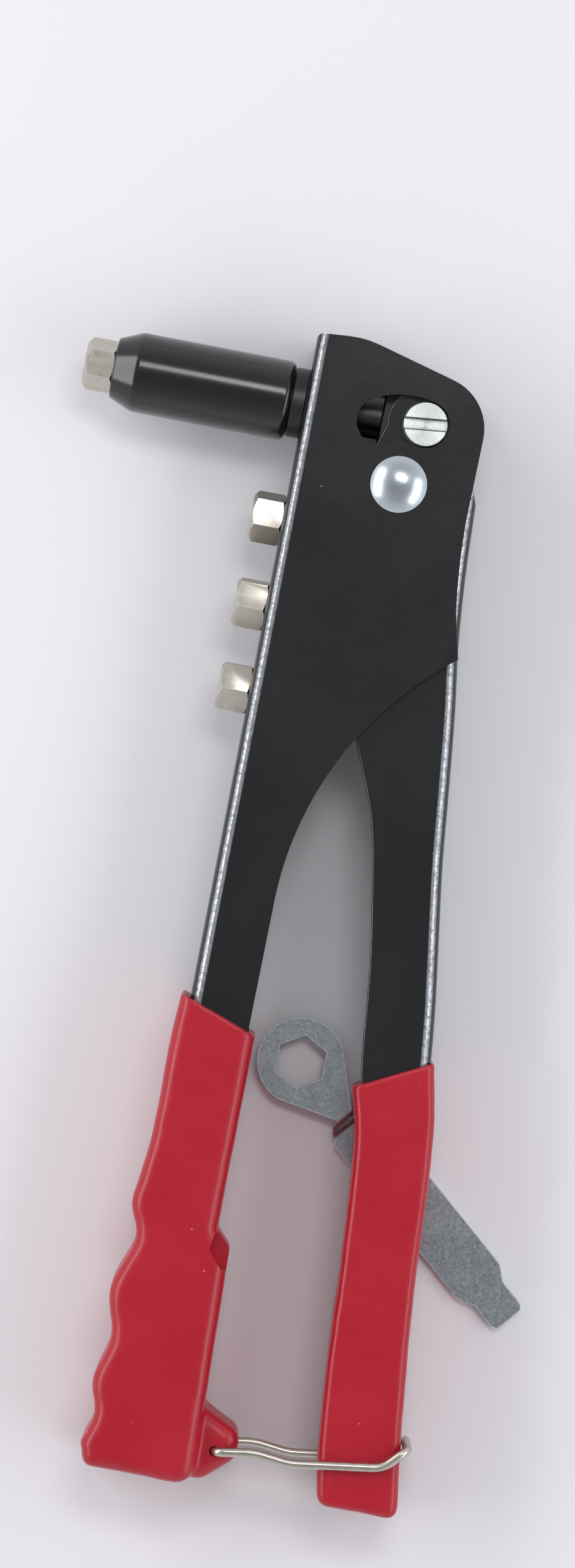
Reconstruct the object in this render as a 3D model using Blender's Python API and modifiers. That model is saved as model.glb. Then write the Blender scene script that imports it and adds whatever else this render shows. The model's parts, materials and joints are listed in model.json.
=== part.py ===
"""Hand riveter: a pressed steel body and lever with dipped grips, a barrel with its jaw
train, four nosepieces, a wire bail and a flat spanner.

The tool lies on its side. +X runs along the nose axis towards the back of the head,
+Y runs up the handles towards the head and +Z is the tool's thickness.
Dimensions are in millimetres from the lever pivot, and become metres where a mesh is made.
"""
import math

import bmesh
import bpy
from mathutils import Matrix, Vector

MM = 0.001

# Where the lever pivot stands in the part's own frame, which has its origin under the
# middle of the whole tool, and the height of the tool's middle plane over the floor.
PIVOT_X, PIVOT_Y = 5.6, 95.43
MID_Z = 13.0

# Clearances, and how far a cutter reaches where it goes right through
GAP = 0.3
THROUGH = 40.0

# Pressed steel body
SHEET = 2.0
BODY_HALF = 10.2
FOLD_RADIUS = 3.0
LEVER_FOLD_RADIUS = 2.6
WEB_X = -23.2
STEM_REAR_X = -9.3
STEM_ARC_TOP = (19.7, -34.7)
STEM_ARC_BOTTOM_Y = -94.0
STEM_END_Y = -204.0
BARREL_HOLE_RADIUS = 6.8

# Lever
LEVER_HALF = 7.8
LEVER_HEAD_RADIUS = 8.2
LEVER_END_Y = -206.0

# Pivot rivet and drive pin
RIVET_RADIUS = 4.0
RIVET_HEAD_RADIUS = 6.1
RIVET_HEAD_HEIGHT = 2.5
RIVET_HEAD_RIM = 0.7
RIVET_TAIL_RADIUS = 5.4
WASHER_RADIUS = 6.4
WASHER_THICK = 0.8
BUSH_RADIUS = 5.2
PIN_RADIUS = 4.75
PIN_HALF = 10.7
PIN_CHAMFER = 0.4
PIN_THREAD_RADIUS = 2.4
PIN_HEAD_SEAT = 7.4
PIN_SLOT_WIDTH = 2.6
PIN_SLOT_DEPTH = 1.6
PIN_SLOT_ANGLE = 6.0
PIN_ORBIT = 14.2
PIN_REST_ANGLE = 13.4
PIN_OPEN_ANGLE = -26.6
SLOT_HALF_HEIGHT = 5.2

# Nose axis: stations along X
NOSE_Y = PIN_ORBIT * math.cos(math.radians(PIN_REST_ANGLE))
TIP_X = -71.7
BARREL_FRONT_X = -65.3
BARREL_REAR_X = -26.3
BARREL_RADIUS = 8.7
BARREL_BORE_RADIUS = 6.7
BARREL_BORE_END_X = -61.4
BARREL_CONE_X = -60.2
BARREL_TIP_RADIUS = 6.5
BARREL_REAR_ROUND = 1.5
BUSH_FRONT_X, BUSH_REAR_X = -33.4, -16.6
BUSH_COLLAR_RADIUS = 7.6
NUT_REAR_X = -17.2
NUT_RADIUS = 7.9
NUT_NOTCH_WIDTH, NUT_NOTCH_DEPTH = 2.4, 1.5
JAW_CASE_FRONT_X = -51.0
JAW_CASE_REAR_X = -33.9
JAW_CASE_RADIUS = 6.2
JAW_MOUTH_RADIUS = 3.25
JAW_BORE_RADIUS = 5.0
JAW_CONE_ANGLE = 10.0
JAW_FRONT_X = JAW_CASE_FRONT_X + 0.4
JAW_LENGTH = 7.6
JAW_HOLE_RADIUS = 1.1
PUSHER_HEAD_RADIUS, PUSHER_HEAD_LENGTH = 4.5, 2.4
PUSHER_TAIL_RADIUS, PUSHER_LENGTH = 1.9, 9.0
SPRING_TURNS = 6
SPRING_COIL_RADIUS = 2.55
SPRING_WIRE_RADIUS = 0.35
SPRING_FRONT_X, SPRING_REAR_X = -39.4, -23.2
ROD_RADIUS = 4.6
ROD_BORE_RADIUS, ROD_BORE_REAR_X = 3.2, -22.7
ROD_FRONT_X = JAW_CASE_REAR_X - 3.7
ROD_EYE_FRONT_X = -6.4
ROD_EYE_RADIUS = 8.3

# Nosepieces
NOSE_ACROSS_FLATS = 10.0
NOSE_THREAD_RADIUS = 3.9
FITTED_THREAD_LENGTH, SPARE_THREAD_LENGTH = 5.0, 6.0
SPARE_Y = (-12.0, -31.0, -49.5)
SPARE_LENGTH = 6.6
SPARE_BORE_RADII = (1.25, 1.6, 2.1)
SPARE_TURNS = (10.0, 20.0, 25.0)
FITTED_BORE_RADIUS = 1.8

# Grips, bail and spanner
BODY_GRIP_HALF = 13.0
BODY_GRIP_ROUND = 2.8
LEVER_GRIP_HALF = 9.2
LEVER_GRIP_ROUND = 2.2
BAIL_PIVOT = (0.5, -212.2)
BAIL_ARM_Z = 10.6
BAIL_CROSSBAR = (41.2, -204.0)
WIRE_RADIUS = 1.0
WIRE_BEND_RADIUS = 2.2
LUG_HALF = 9.3
SPANNER_RING = (3.1, -127.0)
SPANNER_ANGLE = -40.3
SPANNER_THICK = 2.0
SPANNER_OFFSET = 1.5
SPANNER_RING_RADIUS = 9.6
SPANNER_TAPER_ANGLE = 71.0
SPANNER_NECK_HALF = 4.9
SPANNER_CRANK_START, SPANNER_CRANK_END = 15.2, 18.0
SPANNER_HALF = 6.0
SPANNER_SHOULDER, SPANNER_BLADE = 62.0, 65.5
SPANNER_BLADE_HALF = 4.0
SPANNER_TIP = 72.6
SPANNER_HEX_FLATS = 10.2
SPANNER_HEX_TURN = -19.3

COLLECTION_NAME = "hand_riveter"


# ---------------------------------------------------------------- scene and materials

def clear_scene():
    for item in list(bpy.data.objects):
        bpy.data.objects.remove(item, do_unlink=True)


def new_collection(name):
    collection = bpy.data.collections.new(name)
    bpy.context.scene.collection.children.link(collection)
    return collection


def principled(name, color, roughness, metallic):
    material = bpy.data.materials.new(name)
    material.use_nodes = True
    shader = material.node_tree.nodes["Principled BSDF"]
    shader.inputs["Base Color"].default_value = (*color, 1.0)
    shader.inputs["Roughness"].default_value = roughness
    shader.inputs["Metallic"].default_value = metallic
    return material


def empty(name, parent, location, angle=0.0):
    """An unseen axis that pieces hang on; location in mm, angle about Z in degrees."""
    axis = bpy.data.objects.new(name, None)
    axis.parent = parent
    axis.location = Vector(location) * MM
    axis.rotation_euler.z = math.radians(angle)
    GUIDES.objects.link(axis)
    return axis


def place(obj, parent, location=(0.0, 0.0, 0.0), rotation=(0.0, 0.0, 0.0)):
    obj.parent = parent
    obj.location = Vector(location) * MM
    obj.rotation_euler = [math.radians(angle) for angle in rotation]
    return obj


def finish(obj, material, sharp_angle=35.0):
    """Makes obj a finished sub-part: its material, its shading and its collection."""
    obj.data.materials.clear()
    obj.data.materials.append(material)
    obj.data.shade_smooth()
    obj.data.set_sharp_from_angle(angle=math.radians(sharp_angle))
    GUIDES.objects.unlink(obj)
    PARTS.objects.link(obj)
    return obj


# ---------------------------------------------------------------- outlines

def arc(center, radius, start, end, step=6.0):
    """Points on a circle from start to end, in degrees."""
    count = max(2, math.ceil(abs(end - start) / step))
    angles = [math.radians(start + (end - start) * i / count) for i in range(count + 1)]
    return [(center[0] + radius * math.cos(a), center[1] + radius * math.sin(a)) for a in angles]


def rounded(corners, step=15.0):
    """A closed outline from (x, y) or (x, y, radius) corners, each rounded by its radius."""
    points = []
    for i, corner in enumerate(corners):
        here = Vector(corner[:2])
        radius = corner[2] if len(corner) > 2 else 0.0
        if radius == 0.0:
            points.append(tuple(here))
            continue
        back = (Vector(corners[i - 1][:2]) - here).normalized()
        ahead = (Vector(corners[(i + 1) % len(corners)][:2]) - here).normalized()
        half_angle = back.angle(ahead) / 2
        center = here + (back + ahead).normalized() * (radius / math.sin(half_angle))
        reach = radius / math.tan(half_angle)
        start = here + back * reach - center
        end = here + ahead * reach - center
        turn = start.angle_signed(end)
        count = max(1, math.ceil(abs(math.degrees(turn)) / step))
        for k in range(count + 1):
            points.append(tuple(center + Matrix.Rotation(-turn * k / count, 2) @ start))
    return points


def smooth_line(keys, steps=3):
    """An open Catmull-Rom line through the keys."""
    keys = [Vector(key) for key in keys]
    ends = [keys[0] * 2 - keys[1]] + keys + [keys[-1] * 2 - keys[-2]]
    points = []
    for a, b, c, d in zip(ends, ends[1:], ends[2:], ends[3:]):
        for k in range(steps):
            t = k / steps
            points.append(tuple(0.5 * (2 * b + (c - a) * t + (2 * a - 5 * b + 4 * c - d) * t ** 2
                                       + (3 * b - a - 3 * c + d) * t ** 3)))
    points.append(tuple(keys[-1]))
    return points


# ---------------------------------------------------------------- solids

def mesh_object(name, mesh):
    obj = bpy.data.objects.new(name, mesh)
    GUIDES.objects.link(obj)
    return obj


def curve_to_mesh(curve_object):
    """Turns a filled curve object into a welded mesh object of the same name."""
    name = curve_object.name
    depsgraph = bpy.context.evaluated_depsgraph_get()
    mesh = bpy.data.meshes.new_from_object(curve_object.evaluated_get(depsgraph))
    bpy.data.objects.remove(curve_object, do_unlink=True)
    cleaned = bmesh.new()
    cleaned.from_mesh(mesh)
    bmesh.ops.remove_doubles(cleaned, verts=cleaned.verts, dist=0.01 * MM)
    cleaned.to_mesh(mesh)
    cleaned.free()
    mesh.name = name
    return mesh_object(name, mesh)


def poly_curve(name, points, dimensions, cyclic):
    curve = bpy.data.curves.new(name, "CURVE")
    curve.dimensions = dimensions
    spline = curve.splines.new("POLY")
    spline.points.add(len(points) - 1)
    for target, point in zip(spline.points, points):
        target.co = (*(Vector(point).to_3d() * MM), 1.0)
    spline.use_cyclic_u = cyclic
    return curve


def prism(name, outline, half_height):
    """The outline in XY, standing from -half_height to +half_height."""
    curve = poly_curve(name, outline, "2D", True)
    curve.fill_mode = "BOTH"
    curve.extrude = half_height * MM
    return curve_to_mesh(mesh_object(name, curve))


def wire(name, points, radius):
    """A round wire through 3D points, with filled ends."""
    curve = poly_curve(name, points, "3D", False)
    curve.bevel_depth = radius * MM
    curve.bevel_resolution = 2
    curve.use_fill_caps = True
    return curve_to_mesh(mesh_object(name, curve))


def turned(name, profile, steps=32, closed=False):
    """A turned solid about Z. The profile is (radius, height) points from the top down the
    outer side; closed joins its last point to its first, for a tube."""
    mesh = bpy.data.meshes.new(name)
    line = bmesh.new()
    verts = [line.verts.new((radius * MM, 0.0, height * MM)) for radius, height in profile]
    for a, b in zip(verts, verts[1:]):
        line.edges.new((a, b))
    if closed:
        line.edges.new((verts[-1], verts[0]))
    line.to_mesh(mesh)
    line.free()
    obj = mesh_object(name, mesh)
    screw = obj.modifiers.new("turn", "SCREW")
    screw.steps = steps
    screw.render_steps = steps
    screw.use_merge_vertices = True
    screw.merge_threshold = 0.01 * MM
    screw.use_smooth_shade = True
    return obj


def turned_on_nose(name, profile, steps=32, closed=False):
    """As turned, but about the nose axis: profile is (radius, x) from the back forwards."""
    return place(turned(name, profile, steps, closed), NOSE_AXIS, rotation=(0, 90, 0))


def cylinder(name, radius, depth, sides=32):
    mesh = bpy.data.meshes.new(name)
    solid = bmesh.new()
    bmesh.ops.create_cone(solid, cap_ends=True, segments=sides, radius1=radius * MM,
                          radius2=radius * MM, depth=depth * MM)
    solid.to_mesh(mesh)
    solid.free()
    return mesh_object(name, mesh)


def box(name, low, high):
    mesh = bpy.data.meshes.new(name)
    solid = bmesh.new()
    bmesh.ops.create_cube(solid, size=1.0)
    low, high = Vector(low) * MM, Vector(high) * MM
    bmesh.ops.scale(solid, verts=solid.verts, vec=high - low)
    bmesh.ops.translate(solid, verts=solid.verts, vec=(low + high) / 2)
    solid.to_mesh(mesh)
    solid.free()
    return mesh_object(name, mesh)


def combine(obj, operation, other):
    """A Boolean of obj with a cutter or guide that takes obj's parent."""
    other.hide_render = True
    other.display_type = "WIRE"
    if other.parent is None:
        other.parent = obj.parent
    boolean = obj.modifiers.new(other.name, "BOOLEAN")
    boolean.operation = operation
    boolean.solver = "EXACT"
    boolean.object = other
    return obj


def cut(obj, *cutters):
    for cutter in cutters:
        combine(obj, "DIFFERENCE", cutter)
    return obj


def hole_along_z(name, radius, x, y, parent):
    return place(cylinder(name, radius, THROUGH), parent, (x, y, 0))


def hole_through_web(name, radius, y, parent):
    return place(cylinder(name, radius, 8.0), parent, (WEB_X, y, 0), (0, 90, 0))


def round_fold(obj, web_points, half, radius):
    """Rounds the two folds of a pressed channel: the rim edges along its web."""
    web = {(round(x, 2), round(y, 2)) for x, y in web_points}
    solid = bmesh.new()
    solid.from_mesh(obj.data)

    def on_fold(vert):
        spot = (round(vert.co.x / MM, 2), round(vert.co.y / MM, 2))
        return spot in web and abs(abs(vert.co.z / MM) - half) < 0.01

    edges = [edge for edge in solid.edges
             if all(on_fold(vert) for vert in edge.verts)
             and abs(edge.verts[0].co.z - edge.verts[1].co.z) < 0.01 * MM
             and edge.calc_face_angle(0.0) > 1.0]
    bmesh.ops.bevel(solid, geom=edges, offset=radius * MM, segments=4, profile=0.5,
                    affect="EDGES", material=-1, clamp_overlap=True)
    solid.to_mesh(obj.data)
    solid.free()
    return obj


# ---------------------------------------------------------------- body

def body_outline():
    """The side plate, from the top front corner round the back to the stem's end."""
    top_x, top_y = STEM_ARC_TOP
    across = top_x - STEM_REAR_X
    drop = top_y - STEM_ARC_BOTTOM_Y
    radius = (across ** 2 + drop ** 2) / (2 * across)
    center = (STEM_REAR_X + radius, STEM_ARC_BOTTOM_Y)
    arc_top = math.degrees(math.atan2(drop, top_x - center[0]))
    head = rounded([(WEB_X, STEM_END_Y), (WEB_X, 28.9, 1.2), (-13.0, 29.7, 20.0),
                    (16.2, 22.0, 11.5), (15.7, -9.0, 60.0), (17.2, -25.0, 60.0),
                    (STEM_ARC_TOP[0], STEM_ARC_TOP[1] + 0.1)])
    stem = arc(center, radius, arc_top, 180.0, step=4.0)
    return head + stem + [(STEM_REAR_X - 0.9, STEM_END_Y)]


def make_body_frame(material):
    past_stem, past_head, past_rear = STEM_END_Y - THROUGH, THROUGH, THROUGH
    body = box("body_frame", (WEB_X, past_stem, -BODY_HALF), (past_rear, past_head, BODY_HALF))
    round_fold(body, [(WEB_X, past_stem), (WEB_X, past_head)], BODY_HALF, FOLD_RADIUS)
    place(body, MID_PLANE)
    combine(body, "INTERSECT", prism("body_side", body_outline(), THROUGH / 2))
    inside = BODY_HALF - SHEET
    cut(body, box("body_channel", (WEB_X + SHEET, past_stem, -inside),
                  (past_rear, past_head, inside)))
    cut(body, hole_along_z("body_pivot_hole", RIVET_RADIUS + GAP, 0, 0, MID_PLANE))
    outer = arc((0, 0), PIN_ORBIT + SLOT_HALF_HEIGHT, 90 - PIN_REST_ANGLE, 90 - PIN_OPEN_ANGLE)
    inner = arc((0, 0), PIN_ORBIT - SLOT_HALF_HEIGHT, 90 - PIN_OPEN_ANGLE, 90 - PIN_REST_ANGLE)
    front_end = arc(pin_position(PIN_OPEN_ANGLE), SLOT_HALF_HEIGHT, 90 - PIN_OPEN_ANGLE,
                    270 - PIN_OPEN_ANGLE, 15.0)
    rear_end = arc(pin_position(PIN_REST_ANGLE), SLOT_HALF_HEIGHT, -90 - PIN_REST_ANGLE,
                   90 - PIN_REST_ANGLE, 15.0)
    kidney = outer + front_end[1:-1] + inner + rear_end[1:-1]
    cut(body, prism("body_kidney_slot", kidney, THROUGH / 2))
    cut(body, hole_through_web("body_barrel_hole", BARREL_HOLE_RADIUS, NOSE_Y, MID_PLANE))
    for number, y in enumerate(SPARE_Y, 1):
        cut(body, hole_through_web(f"body_spare_hole_{number}", NOSE_THREAD_RADIUS + GAP, y,
                                   MID_PLANE))
    return finish(body, material)


def pin_position(angle):
    """The drive pin's centre when the lever's pin arm leans angle degrees to the rear."""
    lean = math.radians(angle)
    return PIN_ORBIT * math.sin(lean), PIN_ORBIT * math.cos(lean)


def make_body_grip(material):
    front = smooth_line([(-25.3, -116.2), (-25.7, -130.0), (-25.6, -146.0), (-26.6, -157.0),
                         (-27.1, -163.0), (-24.9, -170.2), (-28.3, -181.5), (-26.1, -191.9),
                         (-28.2, -201.5), (-26.5, -208.9), (-28.3, -215.5)])
    rear = rounded([(-27.6, -220.3, 2.5), (-3.0, -220.3, 4.0), (-4.6, -169.0, 2.5),
                    (-8.0, -164.0, 2.5), (-7.9, -122.6), front[0]])
    grip = prism("body_grip", front + rear[:-1], BODY_GRIP_HALF)
    soften(grip, BODY_GRIP_ROUND, 3)
    place(grip, MID_PLANE)
    lug = prism("bail_lug", rounded([(-10.0, -201.0), (-5.0, -201.0, 2.0), (6.2, -209.5, 2.6),
                                     (1.5, -217.0, 4.0), (-10.0, -219.8)]), LUG_HALF)
    combine(grip, "UNION", lug)
    pocket_half = BODY_HALF + GAP
    cut(grip, box("body_grip_pocket", (WEB_X - GAP, STEM_END_Y - GAP, -pocket_half),
                  (STEM_REAR_X + GAP, -100, pocket_half)))
    cut(grip, hole_along_z("bail_hole", WIRE_RADIUS + GAP, *BAIL_PIVOT, MID_PLANE))
    return finish(grip, material)


def soften(obj, width, segments):
    bevel = obj.modifiers.new("soft_edges", "BEVEL")
    bevel.width = width * MM
    bevel.segments = segments
    bevel.limit_method = "ANGLE"
    bevel.angle_limit = math.radians(40)


# ---------------------------------------------------------------- lever

def lever_rear():
    """The lever's web, from its top end to the bottom of the stem."""
    return smooth_line([(17.3, -1.2), (18.0, -16.0), (19.3, -31.0), (21.4, -46.0),
                        (23.2, -62.0), (25.0, -79.0), (27.4, -96.0), (29.6, -112.0),
                        (31.4, -130.0), (33.2, -150.0), (34.3, -170.0), (36.0, -188.0),
                        (38.0, LEVER_END_Y)], 2)


def lever_front():
    """The lever's open edge, from the bottom of the stem to the pivot."""
    return smooth_line([(23.9, LEVER_END_Y), (22.4, -188.0), (21.4, -169.0), (20.2, -154.0),
                        (18.6, -140.0), (15.9, -124.0), (13.8, -104.0), (11.4, -89.0),
                        (8.0, -72.2), (1.9, -56.6), (-4.4, -40.0), (-8.0, -18.0),
                        (-8.6, 0.0)], 2)


def make_lever_channel(material):
    pin = pin_position(PIN_REST_ANGLE)
    rear, front = lever_rear(), lever_front()
    head = arc(pin, LEVER_HEAD_RADIUS, 190.0, 0.0, 15.0)
    lever = prism("lever_channel", rear + front + head, LEVER_HALF)
    round_fold(lever, rear, LEVER_HALF, LEVER_FOLD_RADIUS)
    place(lever, LEVER_AXIS)
    inner_rear = [(x - SHEET, y) for x, y in rear]
    past_bottom, past_top = LEVER_END_Y - THROUGH, THROUGH
    hollow = ([(inner_rear[0][0], past_top)] + inner_rear
              + [(inner_rear[-1][0], past_bottom), (-THROUGH, past_bottom), (-THROUGH, past_top)])
    cut(lever, prism("lever_hollow", hollow, LEVER_HALF - SHEET))
    cut(lever, hole_along_z("lever_pivot_hole", RIVET_RADIUS + GAP, 0, 0, LEVER_AXIS))
    cut(lever, hole_along_z("lever_pin_hole", PIN_RADIUS + GAP, *pin, LEVER_AXIS))
    return finish(lever, material)


def make_lever_grip(material):
    rear = smooth_line([(31.2, -121.1), (33.6, -133.0), (35.1, -147.6), (35.8, -162.2),
                        (36.8, -176.5), (38.1, -190.0), (39.8, -204.3), (41.4, -216.0)], 2)
    front = smooth_line([(23.3, -214.0), (22.2, -205.0), (20.7, -187.9), (19.8, -169.2),
                         (18.7, -153.3), (17.2, -139.0), (14.9, -129.4)], 2)
    bottom = rounded([rear[-1], (41.8, -219.6, 2.5), (24.3, -219.6, 3.0), front[0]])
    grip = prism("lever_grip", rear[:-1] + bottom[:-1] + front, LEVER_GRIP_HALF)
    soften(grip, LEVER_GRIP_ROUND, 3)
    place(grip, LEVER_AXIS)
    pocket_rear = [(x + GAP, y) for x, y in lever_rear()]
    pocket_front = [(x - GAP, y) for x, y in lever_front() if y < rear[0][1] + THROUGH / 2]
    end = LEVER_END_Y - GAP
    pocket = pocket_rear + [(pocket_rear[-1][0], end), (pocket_front[0][0], end)] + pocket_front
    cut(grip, prism("lever_grip_pocket", pocket, LEVER_HALF + GAP))
    return finish(grip, material)


# ---------------------------------------------------------------- pivot and drive pin

def make_main_rivet(material):
    """One rivet: domed head on top, peened tail below the washer."""
    head_seat = BODY_HALF + GAP
    rim = head_seat + RIVET_HEAD_RIM
    tail_seat = -(BODY_HALF + GAP + WASHER_THICK + GAP)
    crown = RIVET_HEAD_HEIGHT - RIVET_HEAD_RIM
    profile = [(RIVET_HEAD_RADIUS * x, rim + crown * y) for x, y in arc((0, 0), 1.0, 90, 0, 15.0)]
    profile[0] = (0.0, profile[0][1])
    profile += [(RIVET_HEAD_RADIUS, head_seat), (RIVET_RADIUS, head_seat),
                (RIVET_RADIUS, tail_seat), (RIVET_TAIL_RADIUS, tail_seat),
                (RIVET_TAIL_RADIUS - 0.2, 0.6 - MID_Z), (RIVET_TAIL_RADIUS - 1.2, -MID_Z),
                (0.0, -MID_Z)]
    rivet = turned("main_rivet", profile)
    return finish(place(rivet, MID_PLANE), material)


def ring(name, inner, outer, bottom, top, parent):
    profile = [(outer, top), (outer, bottom), (inner, bottom), (inner, top)]
    return place(turned(name, profile, closed=True), parent)


def make_washer(material):
    """The washer that the rivet's tail is peened over."""
    top = -BODY_HALF - GAP
    washer = ring("rivet_washer", RIVET_RADIUS + GAP, WASHER_RADIUS, top - WASHER_THICK, top,
                  MID_PLANE)
    return finish(washer, material)


def make_pivot_bush(material):
    """The spacer on the rivet that holds the lever's two sides apart."""
    half = LEVER_HALF - SHEET - GAP
    bush = ring("pivot_bush", RIVET_RADIUS + GAP, BUSH_RADIUS, -half, half, MID_PLANE)
    return finish(bush, material)


def make_drive_pin(material):
    """The pin's threaded sleeve, which the slotted screw below closes."""
    center = (*pin_position(PIN_REST_ANGLE), 0)
    seat, rim = PIN_HEAD_SEAT, PIN_RADIUS - PIN_CHAMFER
    bore, floor = PIN_THREAD_RADIUS + 0.35, -3.0
    sleeve = turned("drive_pin_sleeve", [(bore, seat), (PIN_RADIUS, seat),
                                         (PIN_RADIUS, PIN_CHAMFER - PIN_HALF), (rim, -PIN_HALF),
                                         (0.0, -PIN_HALF), (0.0, floor), (bore, floor)],
                    closed=True)
    finish(place(sleeve, LEVER_AXIS, center), material)
    screw = turned("drive_pin_screw", [(0.0, PIN_HALF), (rim, PIN_HALF),
                                       (PIN_RADIUS, PIN_HALF - PIN_CHAMFER),
                                       (PIN_RADIUS, seat + GAP), (PIN_THREAD_RADIUS, seat + GAP),
                                       (PIN_THREAD_RADIUS, floor + 1.0), (0.0, floor + 1.0)])
    place(screw, LEVER_AXIS, center)
    slot = box("drive_pin_slot", (-PIN_RADIUS - 1, -PIN_SLOT_WIDTH / 2, PIN_HALF - PIN_SLOT_DEPTH),
               (PIN_RADIUS + 1, PIN_SLOT_WIDTH / 2, PIN_HALF + 2))
    place(slot, LEVER_AXIS, center, (0, 0, PIN_SLOT_ANGLE))
    finish(cut(screw, slot), material)


# ---------------------------------------------------------------- barrel and jaw train

def make_barrel(material):
    rear_round = arc((BARREL_RADIUS - BARREL_REAR_ROUND, BARREL_REAR_X - BARREL_REAR_ROUND),
                     BARREL_REAR_ROUND, 90.0, 0.0, 22.5)
    thread = NOSE_THREAD_RADIUS + GAP
    barrel = turned_on_nose("barrel", [(BARREL_BORE_RADIUS, BARREL_REAR_X), *rear_round,
                                       (BARREL_RADIUS, BARREL_CONE_X),
                                       (BARREL_TIP_RADIUS + 0.3, BARREL_FRONT_X + 0.3),
                                       (BARREL_TIP_RADIUS, BARREL_FRONT_X),
                                       (thread, BARREL_FRONT_X), (thread, BARREL_BORE_END_X),
                                       (BARREL_BORE_RADIUS, BARREL_BORE_END_X)], closed=True)
    return finish(barrel, material)


def make_barrel_bush(material):
    """The threaded neck that carries the barrel, through the web and into its nut."""
    thread, bore = BARREL_BORE_RADIUS - GAP, ROD_RADIUS + 0.4
    collar_rear, collar_front = WEB_X - GAP, BARREL_REAR_X + GAP
    bush = turned_on_nose("barrel_bush", [(bore, BUSH_REAR_X), (thread, BUSH_REAR_X),
                                          (thread, collar_rear), (BUSH_COLLAR_RADIUS, collar_rear),
                                          (BUSH_COLLAR_RADIUS, collar_front),
                                          (thread, collar_front), (thread, BUSH_FRONT_X),
                                          (bore, BUSH_FRONT_X)], closed=True)
    return finish(bush, material)


def make_barrel_nut(material):
    """The round nut that holds the bush inside the channel, with four spanner notches."""
    front = WEB_X + SHEET + GAP
    nut = turned_on_nose("barrel_nut", [(BARREL_BORE_RADIUS, NUT_REAR_X),
                                        (NUT_RADIUS - 0.5, NUT_REAR_X),
                                        (NUT_RADIUS, NUT_REAR_X - 0.5), (NUT_RADIUS, front),
                                        (BARREL_BORE_RADIUS, front)], closed=True)
    for number in range(2):
        notch = box(f"barrel_nut_notch_{number + 1}",
                    (NUT_REAR_X - NUT_NOTCH_DEPTH, -NUT_RADIUS - 1, -NUT_NOTCH_WIDTH / 2),
                    (NUT_REAR_X + 2, NUT_RADIUS + 1, NUT_NOTCH_WIDTH / 2))
        cut(nut, place(notch, NOSE_AXIS, rotation=(45 + 90 * number, 0, 0)))
    return finish(nut, material)


def make_jaw_case(material):
    cone_end = JAW_CASE_FRONT_X + (JAW_BORE_RADIUS - JAW_MOUTH_RADIUS) / math.tan(
        math.radians(JAW_CONE_ANGLE))
    case = turned_on_nose("jaw_case", [(JAW_BORE_RADIUS, JAW_CASE_REAR_X),
                                       (JAW_CASE_RADIUS, JAW_CASE_REAR_X),
                                       (JAW_CASE_RADIUS, JAW_CASE_FRONT_X + 1.0),
                                       (JAW_CASE_RADIUS - 1.0, JAW_CASE_FRONT_X),
                                       (JAW_MOUTH_RADIUS, JAW_CASE_FRONT_X),
                                       (JAW_BORE_RADIUS, cone_end)], closed=True)
    return finish(case, material)


def make_jaw(name, side, material):
    """Half a cone with a bore, cut flat where it faces the other jaw."""
    front, rear = JAW_FRONT_X, JAW_FRONT_X + JAW_LENGTH
    growth = math.tan(math.radians(JAW_CONE_ANGLE))
    front_radius = JAW_MOUTH_RADIUS + (front - JAW_CASE_FRONT_X) * growth - 0.12
    jaw = turned_on_nose(name, [(JAW_HOLE_RADIUS, rear), (front_radius + JAW_LENGTH * growth, rear),
                                (front_radius, front), (JAW_HOLE_RADIUS + 0.5, front),
                                (JAW_HOLE_RADIUS, front + 0.8)], closed=True)
    reach, half_gap = JAW_CASE_RADIUS + 3, 0.3
    low, high = (-half_gap, reach) if side < 0 else (-reach, half_gap)
    other_half = box(f"{name}_split", (front - 2, low, -reach), (rear + 2, high, reach))
    return finish(cut(jaw, place(other_half, NOSE_AXIS)), material)


def make_jaw_pusher(material):
    front = JAW_FRONT_X + JAW_LENGTH + GAP
    rear, shoulder = front + PUSHER_LENGTH, front + PUSHER_HEAD_LENGTH
    pusher = turned_on_nose("jaw_pusher", [(0.0, rear), (PUSHER_TAIL_RADIUS - 0.3, rear),
                                           (PUSHER_TAIL_RADIUS, rear - 0.3),
                                           (PUSHER_TAIL_RADIUS, shoulder),
                                           (PUSHER_HEAD_RADIUS, shoulder),
                                           (PUSHER_HEAD_RADIUS, front), (0.0, front)], 24)
    return finish(pusher, material)


def make_jaw_spring(material):
    """A coil round the pusher's tail, from its head to the floor of the rod's bore."""
    per_turn = 12
    count = SPRING_TURNS * per_turn
    points = []
    for i in range(count + 1):
        angle = 2 * math.pi * i / per_turn
        along = SPRING_FRONT_X + (SPRING_REAR_X - SPRING_FRONT_X) * i / count
        points.append((along, SPRING_COIL_RADIUS * math.cos(angle),
                       SPRING_COIL_RADIUS * math.sin(angle)))
    spring = wire("jaw_spring", points, SPRING_WIRE_RADIUS)
    return finish(place(spring, NOSE_AXIS), material)


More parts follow.
